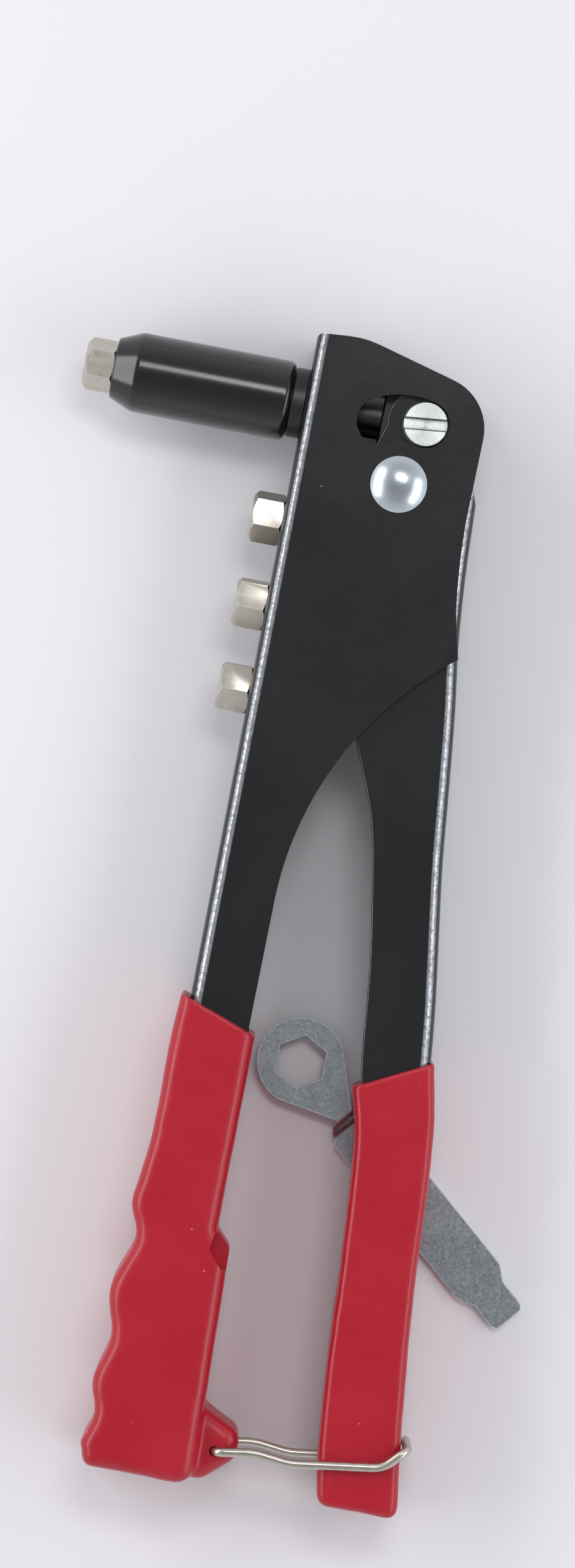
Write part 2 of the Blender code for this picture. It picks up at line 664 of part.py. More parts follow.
def make_pull_rod(material):
    """The round rod that screws into the jaw case, and the flat eye round the drive pin."""
    rod_rear = ROD_EYE_FRONT_X + 2
    rod = turned_on_nose("pull_rod", [(0.0, rod_rear), (ROD_RADIUS, rod_rear),
                                      (ROD_RADIUS, ROD_FRONT_X), (ROD_BORE_RADIUS, ROD_FRONT_X),
                                      (ROD_BORE_RADIUS, ROD_BORE_REAR_X), (0.0, ROD_BORE_REAR_X)])
    pin_x = pin_position(PIN_REST_ANGLE)[0]
    cheek_x, rear_x, half = -3.5, pin_x + ROD_EYE_RADIUS, ROD_EYE_RADIUS
    eye = rounded([(ROD_EYE_FRONT_X, 5.5, 2.0), (ROD_EYE_FRONT_X, -5.5, 2.0),
                   (cheek_x, -half, 1.5), (rear_x, -half, 6.0), (rear_x, half, 6.0),
                   (cheek_x, half, 1.5)])
    eye_half = LEVER_HALF - SHEET - 0.4
    combine(rod, "UNION", place(prism("pull_rod_eye", eye, eye_half), NOSE_AXIS))
    play = PIN_RADIUS + 0.35
    slot = (arc((pin_x, -1.3), play, 180.0, 360.0, 15.0)
            + arc((pin_x, 0.6), play, 0.0, 180.0, 15.0))
    cut(rod, place(prism("pull_rod_pin_slot", slot, THROUGH / 2), NOSE_AXIS))
    return finish(rod, material)


# ---------------------------------------------------------------- nosepieces

def make_nosepiece(name, bore_radius, length, stub, turn, location, parent, material):
    """A hexagon head with a chamfered end, a threaded stub behind it and a bore.
    Its own X runs from the shoulder towards the tip as negative, and turn is in degrees."""
    corner_radius, shoulder = NOSE_ACROSS_FLATS / math.sqrt(3), GAP
    head = cylinder(name, corner_radius, length, 6)
    head.data.transform(Matrix.Rotation(math.radians(turn), 4, "Z"))
    place(head, parent, (location[0] - length / 2 - shoulder, *location[1:]), (0, 90, 0))
    limit = turned(f"{name}_chamfer", [(0.0, 1.0), (corner_radius - 0.6, 1.0),
                                       (corner_radius + 0.2, 0.4 - shoulder),
                                       (corner_radius + 0.2, 1.3 - length - shoulder),
                                       (corner_radius - 1.3, -length - shoulder),
                                       (0.0, -length - shoulder)])
    combine(head, "INTERSECT", place(limit, parent, location, (0, 90, 0)))
    thread = cylinder(f"{name}_thread", NOSE_THREAD_RADIUS, stub)
    combine(head, "UNION", place(thread, parent, (location[0] - shoulder + stub / 2 - 0.5,
                                                  *location[1:]), (0, 90, 0)))
    bore = cylinder(f"{name}_bore", bore_radius, THROUGH, 20)
    cut(head, place(bore, parent, location, (0, 90, 0)))
    return finish(head, material)


def make_nosepieces(material):
    make_nosepiece("nosepiece_fitted", FITTED_BORE_RADIUS, BARREL_FRONT_X - GAP - TIP_X,
                   FITTED_THREAD_LENGTH, 0.0, (BARREL_FRONT_X, 0, 0), NOSE_AXIS, material)
    spares = zip(SPARE_Y, SPARE_BORE_RADII, SPARE_TURNS)
    for number, (y, bore_radius, turn) in enumerate(spares, 1):
        make_nosepiece(f"nosepiece_spare_{number}", bore_radius, SPARE_LENGTH,
                       SPARE_THREAD_LENGTH, turn, (WEB_X, y, 0), MID_PLANE, material)


# ---------------------------------------------------------------- bail and spanner

def bent(corners, radius, steps=4):
    """A 3D polyline with each inner corner rounded."""
    corners = [Vector(corner) for corner in corners]
    points = [corners[0]]
    for before, here, after in zip(corners, corners[1:], corners[2:]):
        reach = min(radius, (before - here).length * 0.45, (after - here).length * 0.45)
        start = here + (before - here).normalized() * reach
        end = here + (after - here).normalized() * reach
        for k in range(steps + 1):
            t = k / steps
            points.append(start * (1 - t) ** 2 + here * 2 * t * (1 - t) + end * t ** 2)
    points.append(corners[-1])
    return points


def make_bail(material):
    """The wire bail, from its pivot stub along one arm, across behind the lever and back."""
    bar_x = BAIL_CROSSBAR[0] - BAIL_PIVOT[0]
    bar_y = BAIL_CROSSBAR[1] - BAIL_PIVOT[1]
    arm = [(0, 0, 5.5), (0, 0, BAIL_ARM_Z), (8.4, 1.4, BAIL_ARM_Z), (16.3, 0.5, BAIL_ARM_Z),
           (bar_x - 4.5, bar_y - 4.8, BAIL_ARM_Z), (bar_x, bar_y, BAIL_ARM_Z)]
    far_arm = [(x, y, -z) for x, y, z in reversed(arm)]
    bail = wire("bail_wire", bent(arm + far_arm, WIRE_BEND_RADIUS), WIRE_RADIUS)
    return finish(place(bail, BAIL_AXIS), material)


def make_spanner(material):
    """A flat spanner with a raised hexagon ring at one end and a blade at the other."""
    ring_edge = arc((0, 0), SPANNER_RING_RADIUS, SPANNER_TAPER_ANGLE, 360 - SPANNER_TAPER_ANGLE, 9.0)
    lower = [(SPANNER_CRANK_START, -SPANNER_NECK_HALF, 3.0),
             (SPANNER_CRANK_END, -SPANNER_NECK_HALF, 0.6),
             (SPANNER_CRANK_END + 0.9, -SPANNER_HALF, 0.8), (SPANNER_SHOULDER, -SPANNER_HALF, 3.0),
             (SPANNER_BLADE, -SPANNER_BLADE_HALF, 2.5), (SPANNER_TIP, -SPANNER_BLADE_HALF, 1.5)]
    upper = [(x, -y, radius) for x, y, radius in reversed(lower)]
    spanner = prism("spanner", ring_edge + rounded(lower + upper), 6.0)
    place(spanner, SPANNER_AXIS)
    low, high, lean = 0.0, SPANNER_OFFSET, 0.35
    past_ring, past_tip = -SPANNER_RING_RADIUS - 3, SPANNER_TIP + 4
    crank = [(past_ring, high), (SPANNER_CRANK_START, high), (SPANNER_CRANK_END, low),
             (past_tip, low), (past_tip, low + SPANNER_THICK),
             (SPANNER_CRANK_END + lean, low + SPANNER_THICK),
             (SPANNER_CRANK_START + lean, high + SPANNER_THICK), (past_ring, high + SPANNER_THICK)]
    side = prism("spanner_side", crank, 14.0)
    combine(spanner, "INTERSECT", place(side, SPANNER_AXIS, rotation=(90, 0, 0)))
    hexagon = cylinder("spanner_hexagon", SPANNER_HEX_FLATS / math.sqrt(3), THROUGH, 6)
    cut(spanner, place(hexagon, SPANNER_AXIS, rotation=(0, 0, SPANNER_HEX_TURN)))
    return finish(spanner, material)


# ---------------------------------------------------------------- assembly

clear_scene()
PARTS = new_collection(COLLECTION_NAME)
GUIDES = new_collection(f"{COLLECTION_NAME}_cutters")

TOOL = empty("tool_floor", None, (PIVOT_X, PIVOT_Y, 0))
MID_PLANE = empty("middle_plane", TOOL, (0, 0, MID_Z))
LEVER_AXIS = empty("lever_axis", TOOL, (0, 0, MID_Z))
NOSE_AXIS = empty("nose_axis", TOOL, (0, NOSE_Y, MID_Z))
BAIL_AXIS = empty("bail_axis", TOOL, (*BAIL_PIVOT, MID_Z))
SPANNER_AXIS = empty("spanner_axis", TOOL, (*SPANNER_RING, 0), SPANNER_ANGLE)

BLACK_PAINT = principled("black_paint", (0.012, 0.012, 0.013), 0.35, 0.0)
RED_GRIP = principled("red_grip", (0.38, 0.016, 0.03), 0.38, 0.0)
ZINC = principled("zinc", (0.62, 0.62, 0.63), 0.34, 1.0)
NICKEL = principled("nickel", (0.66, 0.61, 0.54), 0.24, 1.0)
STEEL = principled("steel", (0.42, 0.42, 0.43), 0.4, 1.0)
SPANNER_ZINC = principled("spanner_zinc", (0.5, 0.53, 0.57), 0.36, 1.0)

make_body_frame(BLACK_PAINT)
make_body_grip(RED_GRIP)
make_lever_channel(BLACK_PAINT)
make_lever_grip(RED_GRIP)
make_main_rivet(ZINC)
make_washer(ZINC)
make_pivot_bush(STEEL)
make_drive_pin(ZINC)
make_barrel(BLACK_PAINT)
make_barrel_bush(STEEL)
make_barrel_nut(STEEL)
make_jaw_case(STEEL)
make_jaw("jaw_upper", 1, STEEL)
make_jaw("jaw_lower", -1, STEEL)
make_jaw_pusher(STEEL)
make_jaw_spring(STEEL)
make_pull_rod(STEEL)
make_nosepieces(NICKEL)
make_bail(NICKEL)
make_spanner(SPANNER_ZINC)
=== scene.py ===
import json
import math

import bmesh
import bpy
from mathutils import Matrix, Vector


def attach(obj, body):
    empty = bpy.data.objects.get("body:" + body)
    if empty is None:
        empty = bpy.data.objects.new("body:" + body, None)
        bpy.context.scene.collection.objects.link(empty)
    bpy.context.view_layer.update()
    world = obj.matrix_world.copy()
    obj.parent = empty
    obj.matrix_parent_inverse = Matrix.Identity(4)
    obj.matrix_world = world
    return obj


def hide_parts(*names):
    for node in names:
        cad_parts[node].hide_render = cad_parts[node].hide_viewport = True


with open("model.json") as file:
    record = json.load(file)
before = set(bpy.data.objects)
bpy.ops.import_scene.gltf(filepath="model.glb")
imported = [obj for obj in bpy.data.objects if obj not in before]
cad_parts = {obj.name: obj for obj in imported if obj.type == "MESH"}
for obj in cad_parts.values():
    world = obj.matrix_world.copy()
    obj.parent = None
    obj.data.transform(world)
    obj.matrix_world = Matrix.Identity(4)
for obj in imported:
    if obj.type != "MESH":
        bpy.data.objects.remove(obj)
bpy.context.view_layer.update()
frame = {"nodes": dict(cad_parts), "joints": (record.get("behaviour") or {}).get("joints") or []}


# ---------------------------------------------------------------- where the tool lies
# The tool lies on its side. Every piece is drawn in millimetres round the lever pivot, with Z
# up through the tool's thickness, and is then scaled and moved to where the frame has it.
joints = {joint["name"]: joint for joint in frame["joints"]}
pivot = Vector(joints["lever_pivot"]["pos_m"])
into_frame = Matrix.Translation(pivot) @ Matrix.Scale(0.001, 4)
mid_height = pivot.z * 1000


# ---------------------------------------------------------------- camera, floor and light
# The camera looks straight down and is turned a little, so that the handles lean to the left.
# Two long soft boxes stand beside the tool, one hangs over it, and the tent round them is
# brighter low down than overhead.
view_turn = math.radians(10.9)
view_center = into_frame @ Vector((-11.3, -67.9, 8.0))
view_distance = 1.25
view_height = 0.3385
film_height = 36.0

camera_data = bpy.data.cameras.new("camera")
camera_data.sensor_fit = "VERTICAL"
camera_data.sensor_height = film_height
camera_data.lens = film_height * view_distance / view_height
camera = bpy.data.objects.new("camera", camera_data)
camera.location = view_center + Vector((0.0, 0.0, view_distance))
camera.rotation_euler = (0.0, 0.0, view_turn)
bpy.context.scene.collection.objects.link(camera)
bpy.context.scene.camera = camera


def start_material(name, color, roughness, metallic):
    """A material whose Principled shader has its even values set."""
    material = bpy.data.materials.new(name)
    material.use_nodes = True
    shader = material.node_tree.nodes["Principled BSDF"]
    shader.inputs["Base Color"].default_value = (*color, 1.0)
    shader.inputs["Roughness"].default_value = roughness
    shader.inputs["Metallic"].default_value = metallic
    return material, material.node_tree, shader


pale_floor, _, floor_shader = start_material("pale_floor", (0.76, 0.75, 0.78), 0.8, 0.0)
floor_shader.inputs["Specular IOR Level"].default_value = 0.1
floor_reach = 8.0
floor_mesh = bmesh.new()
bmesh.ops.create_grid(floor_mesh, x_segments=1, y_segments=1, size=floor_reach)
floor_data = bpy.data.meshes.new("floor")
floor_mesh.to_mesh(floor_data)
floor_mesh.free()
floor = bpy.data.objects.new("floor", floor_data)
floor.location.z = -0.0002  # just clear of the tool's underside
floor_data.materials.append(pale_floor)
bpy.context.scene.collection.objects.link(floor)


def soft_box(name, location, aim, size, watts, color=(1.0, 1.0, 1.0)):
    """A rectangular lamp at location that faces aim, both in metres from the view's centre."""
    light = bpy.data.lights.new(name, "AREA")
    light.shape = "RECTANGLE"
    light.size, light.size_y = size
    light.energy = watts
    light.color = color
    lamp = bpy.data.objects.new(name, light)
    lamp.location = view_center + Vector(location)
    toward = Vector(aim) - Vector(location)
    lamp.rotation_euler = toward.to_track_quat("-Z", "Y").to_euler()
    bpy.context.scene.collection.objects.link(lamp)


soft_box("left_box", (-0.63, 0.05, 0.42), (0.0, 0.0, 0.0), (1.0, 0.24), 3.3)
soft_box("right_box", (0.62, -0.05, 0.46), (0.0, 0.0, 0.0), (0.9, 0.26), 2.2, (0.94, 0.97, 1.0))
soft_box("head_box", (0.10, 0.50, 1.10), (0.0, 0.05, 0.0), (0.5, 0.26), 3.0)


def add_node(tree, kind, **values):
    """Adds a shader node, sets its properties, and sets sockets given as {name: value}."""
    node = tree.nodes.new(kind)
    for socket, value in values.pop("sockets", {}).items():
        node.inputs[socket].default_value = value
    for key, value in values.items():
        setattr(node, key, value)
    return node


def join(source, output, target, socket):
    """Links a node's output to another node's input."""
    source.id_data.links.new(source.outputs[output], target.inputs[socket])


def make_tent():
    """The light tent: its radiance falls from the horizon to the zenith."""
    tent = bpy.data.worlds.new("tent")
    tent.use_nodes = True
    tree = tent.node_tree
    background = tree.nodes["Background"]
    background.inputs["Color"].default_value = (0.96, 0.97, 1.0, 1.0)
    place = add_node(tree, "ShaderNodeTexCoord")
    split = add_node(tree, "ShaderNodeSeparateXYZ")
    fall = add_node(tree, "ShaderNodeMapRange", sockets={"To Min": 1.0, "To Max": 0.32})
    join(place, "Generated", split, "Vector")
    join(split, "Z", fall, "Value")
    join(fall, "Result", background, "Strength")
    return tent


bpy.context.scene.world = make_tent()
bpy.context.scene.view_settings.view_transform = "Standard"


# ---------------------------------------------------------------- body
# The body is one sheet of 2 mm steel, blanked, folded into a channel whose web faces the nose,
# pierced for the pivot, the drive pin and the nosepieces, and stoved with black paint.
sheet = 2.0
body_half = 10.2
fold_radius = 3.0
web_x = -23.2
stem_rear_x = -9.3
stem_end_y = -204.0
pin_orbit = 14.2
pin_rest_angle = 13.4
pin_open_angle = -26.6
nose_y = pin_orbit * math.cos(math.radians(pin_rest_angle))
rivet_radius = 4.0
rivet_hole = rivet_radius + 0.3
slot_half_height = 5.2
bush_hole = 6.8
spare_y = (-12.0, -31.0, -49.5)
spare_hole = 4.2
sheet_edge = 0.28
fork_y = -94.0


def arc(center, radius, start, end, step=3.0):
    """Points on a circle from start to end, in degrees."""
    count = max(2, math.ceil(abs(end - start) / step))
    angles = [math.radians(start + (end - start) * i / count) for i in range(count + 1)]
    return [(center[0] + radius * math.cos(a), center[1] + radius * math.sin(a)) for a in angles]


def rounded(corners, step=7.5):
    """A closed outline from (x, y) or (x, y, radius) corners, each rounded by its radius."""
    points = []
    for i, corner in enumerate(corners):
        here = Vector(corner[:2])
        if len(corner) < 3:
            points.append(tuple(here))
            continue
        radius = corner[2]
        back = (Vector(corners[i - 1][:2]) - here).normalized()
        ahead = (Vector(corners[(i + 1) % len(corners)][:2]) - here).normalized()
        half_angle = back.angle(ahead) / 2
        center = here + (back + ahead).normalized() * (radius / math.sin(half_angle))
        reach = radius / math.tan(half_angle)
        start = here + back * reach - center
        turn = start.angle_signed(here + ahead * reach - center)
        count = max(1, math.ceil(abs(math.degrees(turn)) / step))
        for k in range(count + 1):
            points.append(tuple(center + Matrix.Rotation(-turn * k / count, 2) @ start))
    return points


def smooth_line(keys, steps=6):
    """An open Catmull-Rom line through the keys."""
    keys = [Vector(key) for key in keys]
    ends = [keys[0] * 2 - keys[1]] + keys + [keys[-1] * 2 - keys[-2]]
    points = []
    for a, b, c, d in zip(ends, ends[1:], ends[2:], ends[3:]):
        for k in range(steps):
            t = k / steps
            points.append(tuple(0.5 * (2 * b + (c - a) * t + (2 * a - 5 * b + 4 * c - d) * t ** 2
                                       + (3 * b - a - 3 * c + d) * t ** 3)))
    points.append(tuple(keys[-1]))
    return points


def to_object(name, shape):
    """Makes a bmesh an object, and frees it."""
    bmesh.ops.recalc_face_normals(shape, faces=shape.faces)
    mesh = bpy.data.meshes.new(name)
    shape.to_mesh(mesh)
    shape.free()
    piece = bpy.data.objects.new(name, mesh)
    bpy.context.scene.collection.objects.link(piece)
    return piece


def blank(outline, low, high):
    """A bmesh slab: the outline's face at low, extruded up to high."""
    shape = bmesh.new()
    face = shape.faces.new([shape.verts.new((x, y, low)) for x, y in outline])
    raised = bmesh.ops.extrude_face_region(shape, geom=[face])["geom"]
    bmesh.ops.translate(shape, verts=[v for v in raised if isinstance(v, bmesh.types.BMVert)],
                        vec=(0, 0, high - low))
    return shape


def round_folds(shape, half, radius, on_web, segments=8):
    """Rounds the long edges of a slab where its flat sides meet its web."""
    edges = [edge for edge in shape.edges
             if all(abs(abs(v.co.z) - half) < 0.001 and on_web(v.co) for v in edge.verts)
             and abs(edge.verts[0].co.z - edge.verts[1].co.z) < 0.001]
    bmesh.ops.bevel(shape, geom=edges, offset=radius, affect="EDGES", segments=segments,
                    profile=0.5, material=-1)


def drill(radius, center, axis="Z", depth=60.0, sides=64):
    """A round cutter through center along Z or X."""
    shape = bmesh.new()
    bmesh.ops.create_cone(shape, cap_ends=True, segments=sides, radius1=radius, radius2=radius,
                          depth=depth)
    if axis == "X":
        bmesh.ops.rotate(shape, verts=shape.verts, matrix=Matrix.Rotation(math.pi / 2, 3, "Y"))
    bmesh.ops.translate(shape, verts=shape.verts, vec=center)
    return to_object("drill", shape)


def apply_modifiers(piece):
    """Keeps the mesh that piece's modifiers make, and clears them."""
    graph = bpy.context.evaluated_depsgraph_get()
    mesh = bpy.data.meshes.new_from_object(piece.evaluated_get(graph))
    piece.modifiers.clear()
    piece.data = mesh


def carve(piece, cutter, operation="DIFFERENCE"):
    """Cuts piece with cutter, joins them, or keeps what they share, and removes the cutter."""
    boolean = piece.modifiers.new("carve", "BOOLEAN")
    boolean.operation = operation
    boolean.solver = "EXACT"
    boolean.object = cutter
    apply_modifiers(piece)
    bpy.data.objects.remove(cutter, do_unlink=True)


def carve_outline(piece, outline, half=20.0, operation="DIFFERENCE"):
    """Cuts piece with a slab of this outline, which reaches half above and below its middle."""
    carve(piece, to_object("cutter", blank(outline, -half, half)), operation)


def break_edges(piece, width, segments=2, angle=35.0):
    """Takes the sharpness off every edge that turns more than angle."""
    bevel = piece.modifiers.new("break_edges", "BEVEL")
    bevel.width = width
    bevel.segments = segments
    bevel.limit_method = "ANGLE"
    bevel.angle_limit = math.radians(angle)
    bevel.use_clamp_overlap = True
    apply_modifiers(piece)


def finished(piece, name, material, body, nodes, sharp=35.0):
    """Names a piece, moves it into the frame, gives it its finish and body, and hides its CAD
    nodes.
    """
    piece.name = name
    piece.data.name = name
    piece.data.transform(into_frame)
    piece.data.materials.clear()
    piece.data.materials.append(material)
    piece.data.shade_smooth()
    piece.data.set_sharp_from_angle(angle=math.radians(sharp))
    weighted = piece.modifiers.new("flat_sides", "WEIGHTED_NORMAL")
    weighted.keep_sharp = True
    apply_modifiers(piece)
    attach(piece, body)
    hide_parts(*nodes)
    return piece


def new_group(name, inputs, outputs):
    """A shader node group: inputs are {name: default}, outputs are names of value sockets."""
    group = bpy.data.node_groups.new(name, "ShaderNodeTree")
    for key, default in inputs.items():
        socket = group.interface.new_socket(key, in_out="INPUT", socket_type="NodeSocketFloat")
        socket.default_value = default
    for key in outputs:
        group.interface.new_socket(key, in_out="OUTPUT", socket_type="NodeSocketFloat")
    return group, group.nodes.new("NodeGroupInput"), group.nodes.new("NodeGroupOutput")


def make_skin_group():
    """Height of a finish that is not quite flat: broad waves and a fine peel."""
    group, given, out = new_group("skin", {"Wave Scale": 120.0, "Peel Scale": 1500.0,
                                           "Peel Share": 0.3}, ["Height"])
    place = add_node(group, "ShaderNodeTexCoord")
    wave = add_node(group, "ShaderNodeTexNoise", sockets={"Detail": 1.0, "Roughness": 0.5})
    peel = add_node(group, "ShaderNodeTexNoise", sockets={"Detail": 2.0, "Roughness": 0.6})
    blend = add_node(group, "ShaderNodeMix", data_type="FLOAT")
    join(place, "Object", wave, "Vector")
    join(place, "Object", peel, "Vector")
    join(given, "Wave Scale", wave, "Scale")
    join(given, "Peel Scale", peel, "Scale")
    join(given, "Peel Share", blend, "Factor")
    join(wave, "Fac", blend, "A")
    join(peel, "Fac", blend, "B")
    join(blend, "Result", out, "Height")
    return group


def make_edge_group():
    """A mask along outer edges, broken up by noise: where a finish has been rubbed, and on the
    spanner also where a highlight is painted.
    """
    group, given, out = new_group("edge_wear_and_highlight", {"Breakup Scale": 700.0, "Threshold": 0.5}, ["Mask"])
    place = add_node(group, "ShaderNodeTexCoord")
    turned = add_node(group, "ShaderNodeBevel", samples=6, sockets={"Radius": 0.0005})
    geometry = add_node(group, "ShaderNodeNewGeometry")
    facing = add_node(group, "ShaderNodeVectorMath", operation="DOT_PRODUCT")
    edge = add_node(group, "ShaderNodeMapRange", sockets={"From Min": 0.995, "From Max": 0.86})
    noise = add_node(group, "ShaderNodeTexNoise", sockets={"Detail": 4.0, "Roughness": 0.65})
    over = add_node(group, "ShaderNodeMath", operation="SUBTRACT", use_clamp=True)
    sharpen = add_node(group, "ShaderNodeMath", operation="MULTIPLY", use_clamp=True,
                       sockets={1: 5.0})
    both = add_node(group, "ShaderNodeMath", operation="MULTIPLY", use_clamp=True)
    join(turned, "Normal", facing, 0)
    join(geometry, "Normal", facing, 1)
    join(facing, "Value", edge, "Value")
    join(place, "Object", noise, "Vector")
    join(given, "Breakup Scale", noise, "Scale")
    join(noise, "Fac", over, 0)
    join(given, "Threshold", over, 1)
    join(over, "Value", sharpen, 0)
    join(sharpen, "Value", both, 0)
    join(edge, "Result", both, 1)
    join(both, "Value", out, "Mask")
    return group


def make_speck_group():
    """A mask of sparse small specks of dust, each a different size."""
    group, given, out = new_group("dust_specks", {"Scale": 260.0, "Size": 0.09, "Share": 0.25},
                                  ["Mask"])
    place = add_node(group, "ShaderNodeTexCoord")
    cells = add_node(group, "ShaderNodeTexVoronoi", feature="F1")
    pick = add_node(group, "ShaderNodeSeparateColor")
    chosen = add_node(group, "ShaderNodeMath", operation="LESS_THAN")
    inside = add_node(group, "ShaderNodeMath", operation="LESS_THAN")
    size = add_node(group, "ShaderNodeMath", operation="MULTIPLY")
    both = add_node(group, "ShaderNodeMath", operation="MULTIPLY")
    join(place, "Object", cells, "Vector")
    join(given, "Scale", cells, "Scale")
    join(cells, "Color", pick, "Color")
    join(pick, "Red", chosen, 0)
    join(given, "Share", chosen, 1)
    join(pick, "Green", size, 0)
    join(given, "Size", size, 1)
    join(cells, "Distance", inside, 0)
    join(size, "Value", inside, 1)
    join(chosen, "Value", both, 0)
    join(inside, "Value", both, 1)
    join(both, "Value", out, "Mask")
    return group


skin_group = make_skin_group()
edge_group = make_edge_group()
speck_group = make_speck_group()


def grouped(tree, group, **values):
    """Places a node group with its own values."""
    node = tree.nodes.new("ShaderNodeGroup")
    node.node_tree = group
    for key, value in values.items():
        node.inputs[key.replace("_", " ")].default_value = value
    return node


def mix_colors(tree, factor, first, second):
    """A colour mix node; first and second are colours or sockets, factor is a socket."""
    node = add_node(tree, "ShaderNodeMix", data_type="RGBA")
    tree.links.new(factor, node.inputs["Factor"])
    for name, value in (("A", first), ("B", second)):
        socket = next(s for s in node.inputs if s.name == name and s.type == "RGBA")
        if isinstance(value, tuple):
            socket.default_value = (*value, 1.0)
        else:
            tree.links.new(value, socket)
    return next(s for s in node.outputs if s.type == "RGBA")


def mapped(tree, value, low, high):
    """Maps a 0 to 1 value to low..high."""
    node = add_node(tree, "ShaderNodeMapRange", sockets={"To Min": low, "To Max": high})
    tree.links.new(value, node.inputs["Value"])
    return node.outputs["Result"]


def object_noise(tree, scale, detail=3.0, roughness=0.55, stretch=(1.0, 1.0, 1.0)):
    """Noise on Object coordinates, stretched along the axes."""
    place = add_node(tree, "ShaderNodeTexCoord")
    mapping = add_node(tree, "ShaderNodeMapping", sockets={"Scale": stretch})
    noise = add_node(tree, "ShaderNodeTexNoise",
                     sockets={"Scale": scale, "Detail": detail, "Roughness": roughness})
    join(place, "Object", mapping, "Vector")
    join(mapping, "Vector", noise, "Vector")
    return noise.outputs["Fac"]


def add_bump(tree, shader, height, strength, distance):
    """Feeds a height to the shader's normal."""
    bump = add_node(tree, "ShaderNodeBump", sockets={"Strength": strength, "Distance": distance})
    tree.links.new(height, bump.inputs["Height"])
    join(bump, "Normal", shader, "Normal")


def fold_highlight_mask(tree):
    """Painted highlight mask: where a face leans 8 to 40 degrees off flat, a fold's crown, broken
    by fine grain.
    """
    geometry = add_node(tree, "ShaderNodeNewGeometry")
    split = add_node(tree, "ShaderNodeSeparateXYZ")
    upright = add_node(tree, "ShaderNodeMath", operation="ABSOLUTE")
    off_flat = add_node(tree, "ShaderNodeMapRange", sockets={"From Min": 0.997, "From Max": 0.985})
    off_side = add_node(tree, "ShaderNodeMapRange", sockets={"From Min": 0.70, "From Max": 0.78})
    crown = add_node(tree, "ShaderNodeMath", operation="MULTIPLY")
    broken = add_node(tree, "ShaderNodeMath", operation="MULTIPLY", use_clamp=True)
    grain = mapped(tree, object_noise(tree, 1100.0, 4.0, 0.7), -0.35, 1.6)
    join(geometry, "Normal", split, "Vector")
    join(split, "Z", upright, 0)
    join(upright, "Value", off_flat, "Value")
    join(upright, "Value", off_side, "Value")
    join(off_flat, "Result", crown, 0)
    join(off_side, "Result", crown, 1)
    join(crown, "Value", broken, 0)
    tree.links.new(grain, broken.inputs[1])
    return broken.outputs["Value"]


def make_black_paint(name, dull, shine, peel, paint_fold_highlight):
    """Stoved black paint, from shine to dull roughness, with dust and rubbed edges. Where asked,
    it carries a painted highlight on the crown of each fold: a bright steel colour, made metallic."""
    material, tree, shader = start_material(name, (0.004, 0.004, 0.005), dull, 0.0)
    shader.inputs["Coat Weight"].default_value = 0.3
    shader.inputs["Coat Roughness"].default_value = 0.12
    patches = object_noise(tree, 38.0, 5.0, 0.6)
    edge_mask = grouped(tree, edge_group, Breakup_Scale=900.0, Threshold=0.52)
    specks = grouped(tree, speck_group, Scale=260.0, Size=0.05, Share=0.3)
    paint = mix_colors(tree, patches, (0.002, 0.002, 0.003), (0.006, 0.006, 0.007))
    worn = mix_colors(tree, edge_mask.outputs["Mask"], paint, (0.05, 0.05, 0.055))
    finish_color = mix_colors(tree, specks.outputs["Mask"], worn, (0.24, 0.24, 0.25))
    # Painted highlight: the crown of each fold is coloured bright steel and made metallic.
    if paint_fold_highlight:
        fold_highlight = fold_highlight_mask(tree)
        finish_color = mix_colors(tree, fold_highlight, finish_color, (0.50, 0.53, 0.56))
        tree.links.new(mapped(tree, fold_highlight, 0.0, 0.9), shader.inputs["Metallic"])
    tree.links.new(finish_color, shader.inputs["Base Color"])
    tree.links.new(mapped(tree, patches, shine, dull), shader.inputs["Roughness"])
    skin = grouped(tree, skin_group, Wave_Scale=420.0, Peel_Scale=1500.0, Peel_Share=0.45)
    add_bump(tree, shader, skin.outputs["Height"], peel, 0.0005)
    return material


black_paint = make_black_paint("black_paint", 0.36, 0.18, 0.06, paint_fold_highlight=True)


def body_outline():
    """The side plate, from the stem's end up the web, round the head and down the back."""
    top_x, top_y = 19.7, -34.7
    across, drop = top_x - stem_rear_x, top_y - fork_y
    radius = (across ** 2 + drop ** 2) / (2 * across)
    center = (stem_rear_x + radius, fork_y)
    arc_top = math.degrees(math.atan2(drop, top_x - center[0]))
    head = rounded([(web_x, stem_end_y), (web_x, 28.9, 1.2), (-13.0, 29.7, 20.0),
                    (16.2, 22.0, 11.5), (15.7, -9.0, 60.0), (17.2, -25.0, 60.0),
                    (top_x, top_y + 0.1)])
    return head + arc(center, radius, arc_top, 180.0, 2.0) + [(stem_rear_x - 0.9, stem_end_y)]


def pin_position(angle):
    """The drive pin's centre when the lever's pin arm leans angle degrees to the rear."""
    lean = math.radians(angle)
    return pin_orbit * math.sin(lean), pin_orbit * math.cos(lean)


def kidney_outline():
    """The curved slot that the drive pin sweeps."""
    rear, front = 90 - pin_rest_angle, 90 - pin_open_angle
    outer = arc((0, 0), pin_orbit + slot_half_height, rear, front)
    inner = arc((0, 0), pin_orbit - slot_half_height, front, rear)
    front_end = arc(pin_position(pin_open_angle), slot_half_height, front, front + 180, 7.5)
    rear_end = arc(pin_position(pin_rest_angle), slot_half_height, rear - 180, rear, 7.5)
    return outer + front_end[1:-1] + inner + rear_end[1:-1]


far = 60.0
past_stem = stem_end_y - far
stock = blank([(web_x, past_stem), (far, past_stem), (far, far), (web_x, far)],
              -body_half, body_half)
round_folds(stock, body_half, fold_radius, lambda co: abs(co.x - web_x) < 0.001)
body_piece = to_object("body", stock)
carve_outline(body_piece, body_outline(), operation="INTERSECT")

